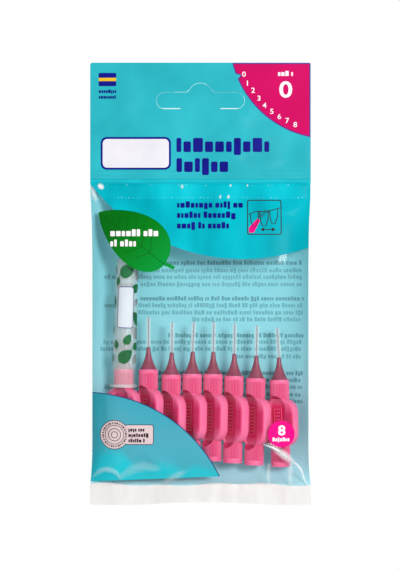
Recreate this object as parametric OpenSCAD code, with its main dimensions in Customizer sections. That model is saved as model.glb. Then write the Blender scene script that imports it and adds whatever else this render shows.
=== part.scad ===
// Hanging pack of eight interdental brushes, one of them capped, in a press-to-close film pouch.
// Millimetres. X runs across the pack, Y from its front to its back, Z up.
// The origin is the centre of the round arch of the hang hole, where a display peg goes.

/* [Film] */
// Width of the header and the pouch
pack_w = 80; // [79:1:90]
// Height of the header, from the fold line to its top edge
header_h = 43; // [40:1:60]
// Height of the pouch, from its bottom edge to the fold line
pouch_h = 117.5; // [116:0.5:140]
// Height of the welded band along the bottom of the pouch
seal_h = 7.5; // [5:0.5:9]
// Thickness of one layer of film
film_t = 0.15; // [0.12:0.01:0.2]
// How far each side of the pouch draws in at its thickest level
waist = 0.8; // [0.4:0.1:1.2]
// Radius of the header's top corners
header_corner_r = 0.8; // [0.5:0.1:3]

/* [Hang hole] */
// Overall width of the hang hole
hang_w = 32; // [28:1:36]
// Height of the hang hole's slot
hang_slot_h = 6.1; // [5:0.1:8]
// Radius of the arch over the slot, where the peg hangs
hang_arch_r = 4.4; // [4:0.1:5]
// Distance from the header's top edge down to the arch's centre
hang_drop = 11.8; // [9:0.2:14]
// Width of the die cut round the tab
tab_cut_w = 0.12; // [0.1:0.01:0.2]

/* [Zip] */
// Height of the two zip profiles
zip_h = 4.7; // [4:0.1:6]
// Distance from the fold line down to the zip profiles
zip_drop = 1.5; // [1.5:0.1:4]
// Thickness of the closed zip, front to back
zip_t = 1.7; // [1.6:0.05:2]
// Distance from the pouch's side edge to the end of the zip profiles
zip_end = 4; // [3.5:0.5:8]

/* [Brush] */
// Diameter of the ribbed collar and tail
collar_d = 7; // [6.8:0.05:7.15]
// Height of the collar above the paddle
collar_h = 7; // [6:0.2:8]
// Height of the tail below the paddle
tail_h = 7.4; // [6:0.2:9]
// Width of the flat paddle
paddle_w = 14.6; // [13.6:0.1:15]
// Height of the paddle
paddle_h = 17.2; // [16:0.2:19]
// Thickness of the paddle
paddle_t = 4.1; // [3.6:0.1:4.4]
// Thickness of the web left in the paddle's pocket
web_t = 2.2; // [1.6:0.1:2.6]
// Width of the pocket in the paddle
pocket_w = 7.2; // [6.2:0.2:7.4]
// Height of the flared neck
neck_h = 7.9; // [6:0.1:9]
// Radius of the neck where it stands on the collar
neck_base_r = 3.05; // [2.6:0.05:3.2]
// Radius of the neck at its tip
neck_tip_r = 0.75; // [0.6:0.05:1]
// Diameter of the twisted wire
wire_d = 0.46; // [0.4:0.02:0.5]
// Height of the bristle head
bristle_h = 10.6; // [8:0.2:12]
// Diameter over the bristles
bristle_d = 1.9; // [1.6:0.1:3]
// Width of one bristle
strand_w = 0.13; // [0.1:0.01:0.16]

/* [Cap] */
// Length of the cap
cap_h = 47; // [44:0.5:48]
// Thickness of the cap's wall at its mouth
cap_wall = 0.78; // [0.6:0.02:0.8]
// Radius of the cap's closed end
cap_end_r = 4; // [3.7:0.05:4.05]
// Clearance between the collar and the cap's bore
cap_clearance = 0.08; // [0.05:0.01:0.1]
// Height of the rim at the cap's mouth
cap_rim_h = 1.1; // [0.8:0.1:1.6]
// How far the rim stands out from the cap
cap_rim_w = 0.58; // [0.4:0.02:0.6]

/* [Row] */
// Gap between the tails of two brushes that stand close together
row_gap = 0.54; // [0.5:0.02:0.7]
// How far the row stands to the right of the pack's centre
row_shift = 0.25; // [0:0.05:0.5]
// Height of the lowest tail above the welded band
foot_room = 6.4; // [6.2:0.1:9]
// How far the first and last brush stand in front of or behind the row
end_shift = 1; // [0.9:0.05:1.1]
// Turn of the middle brushes' paddles out of the pack's plane, in degrees
row_roll = 52; // [50:1:54]
// Turn of the first and the last brush's paddle, in degrees
end_roll = 38; // [35:1:39]

/* [Hidden] */

// One overrun serves every cut
overrun = 1;

// Levels of the film, from the top down
header_top_z = hang_drop;
fold_z = header_top_z - header_h;
bottom_z = fold_z - pouch_h;
seal_z = bottom_z + seal_h;
fold_gap = 0.3;
zip_top_z = fold_z - zip_drop;
zip_low_z = zip_top_z - zip_h;

// The two layers of film lie this far either side of the pack's middle plane where they are welded
weld_gap = 0.02;
header_t = 2 * (film_t + weld_gap);

// Hang hole
hang_slot_top_z = 1.1;
hang_slot_low_z = hang_slot_top_z - hang_slot_h;
arch_flare_w = 1.5;
tab_hinge_gap = 0.3;

// Brush heights, from the tail's end up
collar_z = tail_h + paddle_h;
handle_h = collar_z + collar_h;
neck_tip_z = handle_h + neck_h;
wire_tip = 0.2;
bristle_root = 0.2;

// Film over the brushes
film_clearance = 0.25;
bulge = paddle_w / 2 * sin(row_roll) + paddle_t / 2 * cos(row_roll) + film_clearance;
zip_seat_gap = 0.12;
zip_bulge = zip_t / 2 + zip_seat_gap;
mouth_ramp_h = 36;
mouth_ramp_power = 4;
foot_ramp_h = 17;
foot_ramp_power = 2.8;
body_fullness = 8;
zip_fullness = 24;
fullness_ramp_h = 6;

// Places of the eight brushes, in the order of the row: the step from the brush before as a share of
// the pitch, the height above the lowest tail as a share of the collar's, the step back as a share of
// end_shift, and each brush's lean to the right and turn about its own length, in degrees
pitch_shares = [0, 1.286, 1.048, 1.008, 1.003, 1, 1.034, 1.3];
lift_shares = [0.57, 0.54, 0.27, 0.31, 0.3, 0.2, 0.09, 0];
depth_shares = [-1, 0, 0, 0, 0, 0, 0, 1];
lean_angles = [1.8, 0.2, 1, 1, 0.9, 1, 1.3, -1];
roll_angles = [end_roll, row_roll, row_roll, row_roll, row_roll, row_roll, row_roll, end_roll];
pitch = collar_d + row_gap;

function reach(i) = i == 0 ? 0 : reach(i - 1) + pitch_shares[i];
function tail_x(i) = (reach(i) - reach(7) / 2) * pitch + row_shift;
function tail_z(i) = seal_z + foot_room + lift_shares[i] * collar_h;

// Share of the full bulge that the film has reached at a distance from where its ramp starts
function rise(distance, ramp, power) =
    distance <= 0 ? 0 :
    distance >= ramp ? 1 :
    1 - pow(1 - distance / ramp, power);

// Distance from the middle plane to the film's inner face on the centre line, at each level
function level(z) =
    z >= zip_top_z ? zip_bulge * (fold_z - fold_gap - z) / (fold_z - fold_gap - zip_top_z) :
    z >= zip_low_z ? zip_bulge :
    (zip_bulge + (bulge - zip_bulge) * rise(zip_low_z - z, mouth_ramp_h, mouth_ramp_power))
        * rise(z - seal_z, foot_ramp_h, foot_ramp_power);

function fullness(z) =
    body_fullness + (zip_fullness - body_fullness) * max(0, 1 - max(0, zip_low_z - z) / fullness_ramp_h);
function half_w(z) = pack_w / 2 - waist * level(z) / bulge;
function film_depth(share, z) = weld_gap + level(z) * (1 - pow(abs(share), fullness(z)));

column_shares = [-1, -0.98, -0.955, -0.925, -0.89, -0.845, -0.79, -0.72, -0.6, -0.35,
                 0, 0.35, 0.6, 0.72, 0.79, 0.845, 0.89, 0.925, 0.955, 0.98, 1];
mouth_row_shares = [0.04, 0.09, 0.15, 0.22, 0.3, 0.4, 0.52, 0.67, 1];
foot_row_shares = [1, 0.72, 0.52, 0.38, 0.27, 0.18, 0.11, 0.05];
film_rows = concat(
    [fold_z - fold_gap, zip_top_z, zip_low_z],
    [for (s = mouth_row_shares) zip_low_z - s * mouth_ramp_h],
    [for (s = foot_row_shares) seal_z + s * foot_ramp_h],
    [seal_z, bottom_z]
);

// One layer of film, bulging towards +Y: an inner and an outer skin of triangles and the edge between them
module film_sheet() {
    columns = len(column_shares);
    rows = len(film_rows);
    skin = columns * rows;
    points = [
        for (outer = [0, 1])
            for (z = film_rows)
                for (share = column_shares)
                    [share * half_w(z), film_depth(share, z) + outer * film_t, z]
    ];
    function at(layer, row, column) = layer * skin + row * columns + column;
    inner_faces = [
        for (r = [0:rows - 2]) for (c = [0:columns - 2]) for (half = [0, 1])
            half == 0
                ? [at(0, r, c), at(0, r + 1, c), at(0, r, c + 1)]
                : [at(0, r, c + 1), at(0, r + 1, c), at(0, r + 1, c + 1)]
    ];
    outer_faces = [for (f = inner_faces) [f[0] + skin, f[2] + skin, f[1] + skin]];
    edge = concat(
        [for (c = [0:columns - 2]) at(0, 0, c)],
        [for (r = [0:rows - 2]) at(0, r, columns - 1)],
        [for (c = [columns - 1:-1:1]) at(0, rows - 1, c)],
        [for (r = [rows - 1:-1:1]) at(0, r, 0)]
    );
    edge_faces = [
        for (k = [0:len(edge) - 1]) let (a = edge[k], b = edge[(k + 1) % len(edge)]) for (half = [0, 1])
            half == 0 ? [a, b, a + skin] : [b, b + skin, a + skin]
    ];
    polyhedron(points = points, faces = concat(inner_faces, outer_faces, edge_faces));
}

module back_film() {
    color("lightblue") film_sheet();
}

module front_film() {
    color([0.55, 0.85, 0.9, 0.35]) mirror([0, 1, 0]) film_sheet();
}

// A rectangle with round corners, centred
module round_rect(w, h, r) {
    square([w - 2 * r, h], center = true);
    square([w, h - 2 * r], center = true);
    for (x = [-1, 1], y = [-1, 1])
        translate([x * (w / 2 - r), y * (h / 2 - r)]) circle(r = r, $fn = 48);
}

// Raises a drawing from the XY plane to stand in the XZ plane, half its thickness either side of it
module standing(thickness) {
    rotate([90, 0, 0]) linear_extrude(height = thickness, center = true) children();
}

// A slug of the hang hole's shape, drawn smaller by inset for the tab that fills the hole
module hang_slug(inset, thickness) {
    slot_r = hang_slot_h / 2 - inset;
    slot_mid_z = hang_slot_top_z - hang_slot_h / 2;
    arch_r = hang_arch_r - inset;
    flare_foot = arch_r + arch_flare_w * 2;
    flare_knee = arch_r + arch_flare_w * 0.25;
    flare_knee_z = hang_slot_top_z - inset + arch_flare_w * 0.3;
    standing(thickness)
        translate([0, slot_mid_z]) square([hang_w - hang_slot_h, 2 * slot_r], center = true);
    for (side = [-1, 1])
        standing(thickness)
            translate([side * (hang_w - hang_slot_h) / 2, slot_mid_z]) circle(r = slot_r, $fn = 64);
    standing(thickness) circle(r = arch_r, $fn = 96);
    standing(thickness)
        polygon([
            [-flare_foot, slot_mid_z],
            [-flare_knee, flare_knee_z],
            [-arch_r * 0.8, arch_r * 0.55],
            [arch_r * 0.8, arch_r * 0.55],
            [flare_knee, flare_knee_z],
            [flare_foot, slot_mid_z]
        ]);
}

module header_film() {
    plate_h = header_h - fold_gap;
    color("turquoise")
        difference() {
            standing(header_t) {
                translate([0, header_top_z - plate_h / 2]) round_rect(pack_w, plate_h, header_corner_r);
                translate([-pack_w / 2, fold_z + fold_gap]) square([pack_w, plate_h / 2]);
            }
            hang_slug(0, header_t + overrun);
        }
}

module hang_tab() {
    color("mediumturquoise")
        difference() {
            hang_slug(tab_cut_w, header_t);
            standing(header_t + overrun)
                translate([-hang_w / 2, hang_slot_low_z - overrun]) square([hang_w, overrun + tab_hinge_gap]);
        }
}

// Zip profiles: a bead on the front strip snaps between two hooks on the back strip
zip_strip_t = zip_t * 0.15;
zip_bead_r = zip_t * 0.2;
zip_hook_t = zip_t * 0.12;
zip_play = 0.06;

// A section drawn in Y and Z, drawn out along the zip
module zip_extrusion() {
    length = pack_w - 2 * zip_end;
    translate([-length / 2, 0, zip_low_z + zip_h / 2])
        rotate([90, 0, 90]) linear_extrude(height = length) children();
}

module zip_profile_front() {
    face = zip_t / 2;
    color("powderblue")
        zip_extrusion() {
            translate([-face, -zip_h / 2]) square([zip_strip_t, zip_h]);
            translate([-face + zip_strip_t / 2, -zip_bead_r / 2]) square([face - zip_strip_t / 2, zip_bead_r]);
            circle(r = zip_bead_r, $fn = 32);
        }
}

module zip_profile_back() {
    face = zip_t / 2;
    hook_in = zip_bead_r + zip_play;
    hook_reach = face + zip_bead_r;
    color("lightcyan")
        zip_extrusion() {
            translate([face - zip_strip_t, -zip_h / 2]) square([zip_strip_t, zip_h]);
            for (side = [0, 1])
                mirror([0, side]) {
                    translate([face - hook_reach, hook_in]) square([hook_reach, zip_hook_t]);
                    translate([face - hook_reach - zip_hook_t, hook_in * 0.7])
                        square([zip_hook_t, hook_in * 0.3 + zip_hook_t]);
                }
        }
}

// Fine ribs along the collar and the tail
rib_count = 36;
rib_depth = 0.16;
rib_play = 0.03;

module ribbed_rod(h) {
    crest_r = collar_d / 2 - rib_play;
    linear_extrude(height = h)
        polygon([
            for (k = [0:2 * rib_count - 1])
                let (r = k % 2 == 0 ? crest_r : crest_r - rib_depth, a = k * 180 / rib_count)
                    [r * cos(a), r * sin(a)]
        ]);
}

// Paddle with rounded corners and edges: three rounded bars crossed through each other
paddle_corner_r = 5;
paddle_edge_r = 0.8;

module paddle() {
    translate([0, 0, tail_h + paddle_h / 2])
        intersection() {
            standing(paddle_t + overrun) round_rect(paddle_w, paddle_h, paddle_corner_r);
            linear_extrude(height = paddle_h + overrun, center = true)
                round_rect(paddle_w, paddle_t, paddle_edge_r);
            rotate([90, 0, 90])
                linear_extrude(height = paddle_w + overrun, center = true)
                    round_rect(paddle_t, paddle_h, paddle_edge_r);
        }
}

// The pocket runs up and down past the paddle and scoops a round end into the collar and the tail
scoop_h = 1.8;

module pocket() {
    straight_h = paddle_h + 2 * scoop_h - pocket_w;
    for (side = [0, 1])
        mirror([0, side, 0])
            translate([0, web_t / 2, tail_h + paddle_h / 2])
                rotate([-90, 0, 0])
                    linear_extrude(height = collar_d) {
                        square([pocket_w, straight_h], center = true);
                        for (end = [-1, 1])
                            translate([0, end * straight_h / 2]) circle(d = pocket_w, $fn = 48);
                    }
}

rim_h = 0.8;
end_ring_h = 0.7;
groove_h = 0.35;
groove_depth = 0.2;
end_bevel = 0.25;
neck_spigot_r = 1.5;
neck_spigot_h = 3.5;
wire_anchor_h = 3;
press_play = 0.02;
joint_overlap = 1.2;

module handle() {
    r = collar_d / 2;
    wire_bore_r = wire_d / 2 + press_play;
    color("hotpink")
        difference() {
            union() {
                paddle();
                cylinder(h = end_bevel, r1 = r - end_bevel, r2 = r, $fn = 72);
                translate([0, 0, end_bevel]) cylinder(h = end_ring_h - end_bevel, r = r, $fn = 72);
                translate([0, 0, end_ring_h]) cylinder(h = groove_h, r = r - groove_depth, $fn = 72);
                translate([0, 0, end_ring_h + groove_h]) cylinder(h = end_ring_h, r = r, $fn = 72);
                translate([0, 0, 2 * end_ring_h + groove_h])
                    ribbed_rod(tail_h - 2 * end_ring_h - groove_h + joint_overlap);
                translate([0, 0, collar_z - joint_overlap]) ribbed_rod(collar_h - rim_h + joint_overlap);
                translate([0, 0, handle_h - rim_h]) cylinder(h = rim_h - end_bevel, r = r, $fn = 72);
                translate([0, 0, handle_h - end_bevel]) cylinder(h = end_bevel, r1 = r, r2 = r - end_bevel, $fn = 72);
            }
            pocket();
            translate([0, 0, handle_h - neck_spigot_h - press_play])
                cylinder(h = neck_spigot_h + overrun, r = neck_spigot_r + press_play, $fn = 48);
            translate([0, 0, handle_h - neck_spigot_h - wire_anchor_h])
                cylinder(h = wire_anchor_h + overrun, r = wire_bore_r, $fn = 24);
        }
}

neck_flare_power = 1.9;
neck_steps = 12;

module neck() {
    color("palevioletred")
        difference() {
            union() {
                translate([0, 0, handle_h])
                    rotate_extrude($fn = 64)
                        polygon(concat(
                            [[0, 0]],
                            [for (k = [0:neck_steps])
                                [neck_tip_r + (neck_base_r - neck_tip_r) * pow(1 - k / neck_steps, neck_flare_power),
                                 neck_h * k / neck_steps]],
                            [[0, neck_h]]
                        ));
                translate([0, 0, handle_h - neck_spigot_h])
                    cylinder(h = neck_spigot_h + press_play, r = neck_spigot_r, $fn = 48);
            }
            translate([0, 0, handle_h - neck_spigot_h - overrun])
                cylinder(h = neck_spigot_h + neck_h + 2 * overrun, r = wire_d / 2 + press_play, $fn = 24);
        }
}

module wire() {
    start = handle_h - neck_spigot_h - wire_anchor_h + press_play;
    color("dimgray")
        translate([0, 0, start])
            cylinder(h = neck_tip_z + bristle_root + bristle_h + wire_tip - start, r = wire_d / 2, $fn = 24);
}

// Bristles: filaments held across the wire, each turned on from the one below, on a thin sleeve
filament_count = 24;
filament_turn = 137.5;
sleeve_wall = 0.1;

module bristles() {
    filament_pitch = bristle_h / filament_count;
    sleeve_r = wire_d / 2 + press_play + sleeve_wall;
    color("white")
        translate([0, 0, neck_tip_z + bristle_root])
            difference() {
                union() {
                    cylinder(h = bristle_h, r = sleeve_r, $fn = 8);
                    for (k = [0:filament_count - 1])
                        translate([0, 0, (k + 0.5) * filament_pitch])
                            rotate([0, 90, k * filament_turn])
                                cylinder(h = bristle_d, r = strand_w / 2, $fn = 3, center = true);
                }
                translate([0, 0, -overrun])
                    cylinder(h = bristle_h + 2 * overrun, r = wire_d / 2 + press_play, $fn = 24);
            }
}

// Cap: its bore fits the collar as far as a step, and its wall tapers from there to the closed end
cap_seat_gap = 0.3;
cap_step = 0.18;
cap_end_t = 1;
cap_end_round = 1.2;
cap_inner_end_r = cap_end_r - cap_wall * 0.83;

module cap_section() {
    bore_r = collar_d / 2 + cap_clearance;
    mouth_r = bore_r + cap_wall;
    seat_h = collar_h - cap_seat_gap + rim_h / 4;
    polygon(concat(
        [[bore_r, 0], [mouth_r + cap_rim_w, 0], [mouth_r + cap_rim_w, cap_rim_h * 0.7],
         [mouth_r + cap_rim_w * 0.7, cap_rim_h], [mouth_r, cap_rim_h]],
        [for (a = [0:15:90])
            [cap_end_r - cap_end_round * (1 - cos(a)), cap_h - cap_end_round * (1 - sin(a))]],
        [[0, cap_h], [0, cap_h - cap_end_t]],
        [[cap_inner_end_r - cap_end_t / 2, cap_h - cap_end_t], [cap_inner_end_r, cap_h - 1.5 * cap_end_t]],
        [[bore_r - cap_step, seat_h], [bore_r, seat_h]]
    ));
}

module cap_solid() {
    color([0.92, 0.96, 0.94, 0.6])
        translate([0, 0, collar_z + cap_seat_gap]) rotate_extrude($fn = 72) cap_section();
}

// Puts a brush's own piece in its place in the row
module place(i) {
    translate([tail_x(i), depth_shares[i] * end_shift, tail_z(i)])
        rotate([0, lean_angles[i], 0])
            rotate([0, 0, -roll_angles[i]])
                children();
}

header_film();
hang_tab();
front_film();
back_film();
zip_profile_front();
zip_profile_back();
place(0) cap_solid();  // cap
for (i = [0:7]) {
    place(i) handle();
    place(i) neck();
    place(i) wire();
    place(i) bristles();
}
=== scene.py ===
# %% [markdown]
# # A hanging pack of interdental brushes
#
# A flat film pouch hangs from a welded header. Eight pink brushes stand in the pouch, and the first
# of them wears a long travel cap. The imported CAD model gives every piece its place; here each piece
# gets its finished shape and surface. We load that model first.

# %% Load the frame
import math
import random

import bmesh
import bpy
from mathutils import Matrix, Vector


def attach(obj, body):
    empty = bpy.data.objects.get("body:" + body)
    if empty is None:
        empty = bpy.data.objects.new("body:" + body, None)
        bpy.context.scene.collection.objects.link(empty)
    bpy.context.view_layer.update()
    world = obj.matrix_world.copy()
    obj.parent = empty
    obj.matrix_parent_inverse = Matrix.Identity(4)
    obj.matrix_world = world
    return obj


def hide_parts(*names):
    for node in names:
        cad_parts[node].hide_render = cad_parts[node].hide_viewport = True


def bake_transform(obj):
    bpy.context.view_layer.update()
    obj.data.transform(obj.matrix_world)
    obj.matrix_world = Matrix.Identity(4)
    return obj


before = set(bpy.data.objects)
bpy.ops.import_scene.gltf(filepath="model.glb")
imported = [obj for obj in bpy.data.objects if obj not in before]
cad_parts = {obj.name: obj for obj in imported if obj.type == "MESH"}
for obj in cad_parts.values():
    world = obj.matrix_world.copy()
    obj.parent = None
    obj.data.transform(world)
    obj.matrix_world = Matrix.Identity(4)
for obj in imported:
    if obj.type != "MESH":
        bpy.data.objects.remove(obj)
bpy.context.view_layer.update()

# %% [markdown]
# ## The camera
#
# The photograph looks straight at the pack. A long lens from a metre away keeps the lines parallel.
# One pixel of the photograph is 0.3628 mm here, because the hang hole is a 32 mm euro slot. The
# same scale turns any point of the photograph into a place on the pack.

# %% Set up the camera
MM = 0.001
PIXEL = 0.3628 * MM
PHOTO_W, PHOTO_H = 400, 570
PEG_PX, PEG_PY = 200.45, 95.2
CAMERA_AWAY = 1.0


def photo_x(px):
    """The place across the pack, in metres, of a column of the photograph."""
    return (px - PEG_PX) * PIXEL


def photo_z(py):
    """The height, in metres, of a row of the photograph."""
    return (PEG_PY - py) * PIXEL


camera_data = bpy.data.cameras.new("camera")
camera_data.sensor_fit = "HORIZONTAL"
camera_data.sensor_width = 36
camera_data.lens = camera_data.sensor_width * CAMERA_AWAY / (PHOTO_W * PIXEL)
camera_data.dof.use_dof = False
camera = bpy.data.objects.new("camera", camera_data)
camera.location = (photo_x(PHOTO_W / 2), -CAMERA_AWAY, photo_z(PHOTO_H / 2))
camera.rotation_euler = (math.radians(90), 0, 0)
bpy.context.scene.collection.objects.link(camera)
bpy.context.scene.camera = camera
bpy.context.scene.view_settings.view_transform = "Standard"
print(f"lens {camera_data.lens:.0f} mm")

# %% [markdown]
# ## Colours and nodes
#
# A screen colour such as #38bac7 is stored with a curve, and Blender's shaders want it without. One
# function takes the curve off. A second one adds a node to a material and sets and links its
# sockets, so that each material further on reads as a short list of nodes. Moulded and printed
# surfaces share a fine grain, which gets a function too.

# %% Colour and node helpers
def linear(hex_colour):
    """The linear red, green, blue and alpha of an sRGB hex colour."""
    channels = [int(hex_colour[i:i + 2], 16) / 255 for i in (1, 3, 5)]
    return tuple(c / 12.92 if c <= 0.04045 else ((c + 0.055) / 1.055) ** 2.4 for c in channels) + (1,)


def add(tree, kind, *values, named=None, stops=None, out=0, **settings):
    """Adds a shader node and returns one of its outputs. Each value is a number, a colour or an output
    to link: values go to the sockets in order, and named ones to the sockets with those names."""
    node = tree.nodes.new("ShaderNode" + kind)
    for name, value in settings.items():
        setattr(node, name, value)
    for socket, value in [*enumerate(values), *(named or {}).items()]:
        if isinstance(value, bpy.types.NodeSocket):
            tree.links.new(value, node.inputs[socket])
        else:
            node.inputs[socket].default_value = value
    if stops:
        ramp = node.color_ramp
        while len(ramp.elements) < len(stops):
            ramp.elements.new(0.5)
        for element, (place, hex_colour) in zip(ramp.elements, stops):
            element.position = place
            element.color = linear(hex_colour)
    return node.outputs[out]


def grained(tree, place, grain_w, strength, depth):
    """The bump of a fine grain, from its width and its depth in metres."""
    grain = add(tree, "TexNoise", place, named={"Scale": 1 / grain_w, "Detail": 2})
    return add(tree, "Bump", named={"Height": grain, "Strength": strength, "Distance": depth})


def new_material(name):
    """An empty material, its node tree and its output's surface socket."""
    material = bpy.data.materials.new(name)
    material.use_nodes = True
    material.node_tree.nodes.clear()
    output = material.node_tree.nodes.new("ShaderNodeOutputMaterial")
    return material, material.node_tree, output.inputs["Surface"]


# %% [markdown]
# ## Light
#
# The photograph has one soft main light from the upper right, in front, and a pale room all round.
# An area lamp throws the soft shadows to the left, a larger and weaker one fills them in, and a
# third one behind shines through the thin film. The world gives the rest. What the camera or a
# reflection sees of the world is plain white.

# %% Set up the world and the lamps
ROOM_STRENGTH = 0.4
KEY_POWER = 4.6
FILL_POWER = 1.3
BACK_POWER = 3.0

world = bpy.data.worlds.new("room")
world.use_nodes = True
bpy.context.scene.world = world
tree = world.node_tree
tree.nodes.clear()
path = add(tree, "LightPath").node.outputs
seen = add(tree, "Math", path["Is Camera Ray"], path["Is Glossy Ray"], operation="MAXIMUM")
seen = add(tree, "Math", seen, path["Is Transmission Ray"], operation="MAXIMUM")
strength = add(tree, "MapRange", seen, named={"To Min": ROOM_STRENGTH, "To Max": 1})
backdrop = add(tree, "Background", (1, 1, 1, 1), strength)
tree.links.new(backdrop, tree.nodes.new("ShaderNodeOutputWorld").inputs["Surface"])


def area_lamp(name, power, size, place, target):
    """A square area lamp that shines from place towards target."""
    data = bpy.data.lights.new(name, "AREA")
    data.energy = power
    data.size = size
    lamp = bpy.data.objects.new(name, data)
    lamp.location = place
    lamp.rotation_euler = (Vector(target) - Vector(place)).to_track_quat("-Z", "Y").to_euler()
    bpy.context.scene.collection.objects.link(lamp)


# Each lamp: its power in watts, its side and its place in metres
LAMPS = {
    "key_lamp": (KEY_POWER, 0.22, (0.36, -0.7, 0.1)),
    "fill_lamp": (FILL_POWER, 0.7, (-0.42, -0.6, -0.25)),
    "back_lamp": (BACK_POWER, 0.5, (0.25, 0.7, 0.1)),
}
middle = (0, 0, photo_z(PHOTO_H / 2))
for name, (power, size, place) in LAMPS.items():
    area_lamp(name, power, size, place, middle)
print("lamps:", len(LAMPS))

# %% [markdown]
# ## The floor
#
# The pack hangs, so the floor lies a little below it. A plain disc keeps the soft shadow and has no
# corner in any view. It is stage, and no part of the object.

# %% Make the floor
FLOOR_Z = -0.19
FLOOR_R = 0.16

floor_mesh = bpy.data.meshes.new("floor")
bm = bmesh.new()
bmesh.ops.create_circle(bm, cap_ends=True, segments=96, radius=FLOOR_R)
bmesh.ops.translate(bm, verts=bm.verts, vec=(0, 0, FLOOR_Z))
bm.to_mesh(floor_mesh)
bm.free()
floor = bpy.data.objects.new("floor", floor_mesh)
bpy.context.scene.collection.objects.link(floor)

# Matt painted board, pale and even
material, tree, surface = new_material("painted_board")
grain = add(tree, "TexNoise", named={"Scale": 40, "Detail": 2})
paint = add(tree, "ValToRGB", grain, stops=[(0, "#e9e9e9"), (1, "#f4f4f4")])
board = add(tree, "BsdfPrincipled", paint, named={"Roughness": 0.8})
tree.links.new(board, surface)
floor.data.materials.append(material)
print(f"floor at {FLOOR_Z / MM:.0f} mm")

# %% [markdown]
# ## The sizes
#
# The CAD model was drawn from a few driving sizes. The same sizes are named here in metres, so that
# each finished piece fills the space that its CAD solid holds.

# %% Sizes of the film, the header and the row of brushes
PACK_W = 80 * MM
HEADER_TOP_Z = 11.8 * MM
FOLD_Z = -31.2 * MM
FOLD_GAP = 0.3 * MM
BOTTOM_Z = -148.7 * MM
SEAL_Z = -141.2 * MM
FILM_T = 0.15 * MM
WELD_GAP = 0.02 * MM
HEADER_T = 2 * (FILM_T + WELD_GAP)
WAIST = 0.8 * MM
ZIP_TOP_Z = -32.7 * MM
ZIP_LOW_Z = -37.4 * MM

COLLAR_D = 7 * MM
COLLAR_H = 7 * MM
TAIL_H = 7.4 * MM
PADDLE_W = 14.6 * MM
PADDLE_H = 17.2 * MM
PADDLE_T = 4.1 * MM
COLLAR_Z = TAIL_H + PADDLE_H
HANDLE_H = COLLAR_Z + COLLAR_H

PITCH = 7.54 * MM
ROW_SHIFT = 0.25 * MM
FOOT_ROOM = 6.4 * MM
END_SHIFT = 1 * MM
PITCH_SHARES = [0, 1.286, 1.048, 1.008, 1.003, 1, 1.034, 1.3]
LIFT_SHARES = [0.57, 0.54, 0.27, 0.31, 0.3, 0.2, 0.09, 0]
DEPTH_SHARES = [-1, 0, 0, 0, 0, 0, 0, 1]
LEAN_ANGLES = [1.8, 0.2, 1, 1, 0.9, 1, 1.3, -1]
ROLL_ANGLES = [38, 52, 52, 52, 52, 52, 52, 38]
BRUSHES = range(8)


def brush_place(i):
    """The matrix that puts brush i, drawn upright on the origin, in its place in the row."""
    reach = sum(PITCH_SHARES[:i + 1]) - sum(PITCH_SHARES) / 2
    place = Matrix.Translation((reach * PITCH + ROW_SHIFT, DEPTH_SHARES[i] * END_SHIFT,
                                SEAL_Z + FOOT_ROOM + LIFT_SHARES[i] * COLLAR_H))
    lean = Matrix.Rotation(math.radians(LEAN_ANGLES[i]), 4, "Y")
    roll = Matrix.Rotation(math.radians(-ROLL_ANGLES[i]), 4, "Z")
    return place @ lean @ roll


print(f"handles {HANDLE_H / MM:.1f} mm tall, set {PITCH / MM:.2f} mm apart")

# %% [markdown]
# ## From bmesh to a finished piece
#
# Every new piece goes through one function. It gives the mesh its material, smooths it up to a
# crease angle, makes it ride on a CAD body and hides the CAD nodes that it stands for.

# %% Finish a piece
def finish(bm, name, material, body, replaces=(), crease=35):
    """Turns a bmesh into an object that rides on a body. The bmesh is freed."""
    mesh = bpy.data.meshes.new(name)
    bm.to_mesh(mesh)
    bm.free()
    mesh.polygons.foreach_set("use_smooth", [True] * len(mesh.polygons))
    mesh.set_sharp_from_angle(angle=math.radians(crease))
    mesh.materials.append(material)
    piece = bpy.data.objects.new(name, mesh)
    bpy.context.scene.collection.objects.link(piece)
    if body:
        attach(piece, body)
    if replaces:
        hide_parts(*replaces)
    return piece


# %% [markdown]
# ## The film's shape
#
# Two layers of film are welded at their edges and bulge over the brushes between them. The bulge is
# the same formula as in the CAD model. Real film also creases: each crease here is a soft ridge
# along a line, listed with the points of that line in the photograph, its half width and its height.

# %% Creases of the pouch
BULGE = 7.264 * MM
ZIP_BULGE = 0.97 * MM
MOUTH_RAMP_H, MOUTH_RAMP_POWER = 36 * MM, 4
FOOT_RAMP_H, FOOT_RAMP_POWER = 17 * MM, 2.8
BODY_FULLNESS = 8
ZIP_FULLNESS = 24
FULLNESS_RAMP_H = 6 * MM

# Puckers over the welded foot: two waves in radians a metre, of which the second one bends the first
PUCKER_WAVE, PUCKER_BEND_WAVE, PUCKER_BEND = 420, 170, 1.2
PUCKER_H, PUCKER_REACH = 0.18 * MM, 2.5 * MM
PUCKER_ROOM = 0.5 * MM

# A crease ends at three half widths from its line, and gets lower to the line's ends and the sides
CREASE_REACH = 3.0
CREASE_END_FADE = 0.55
SIDE_FADE_STEEPNESS = 9
CREASE_RAMP_H = 6 * MM

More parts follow.
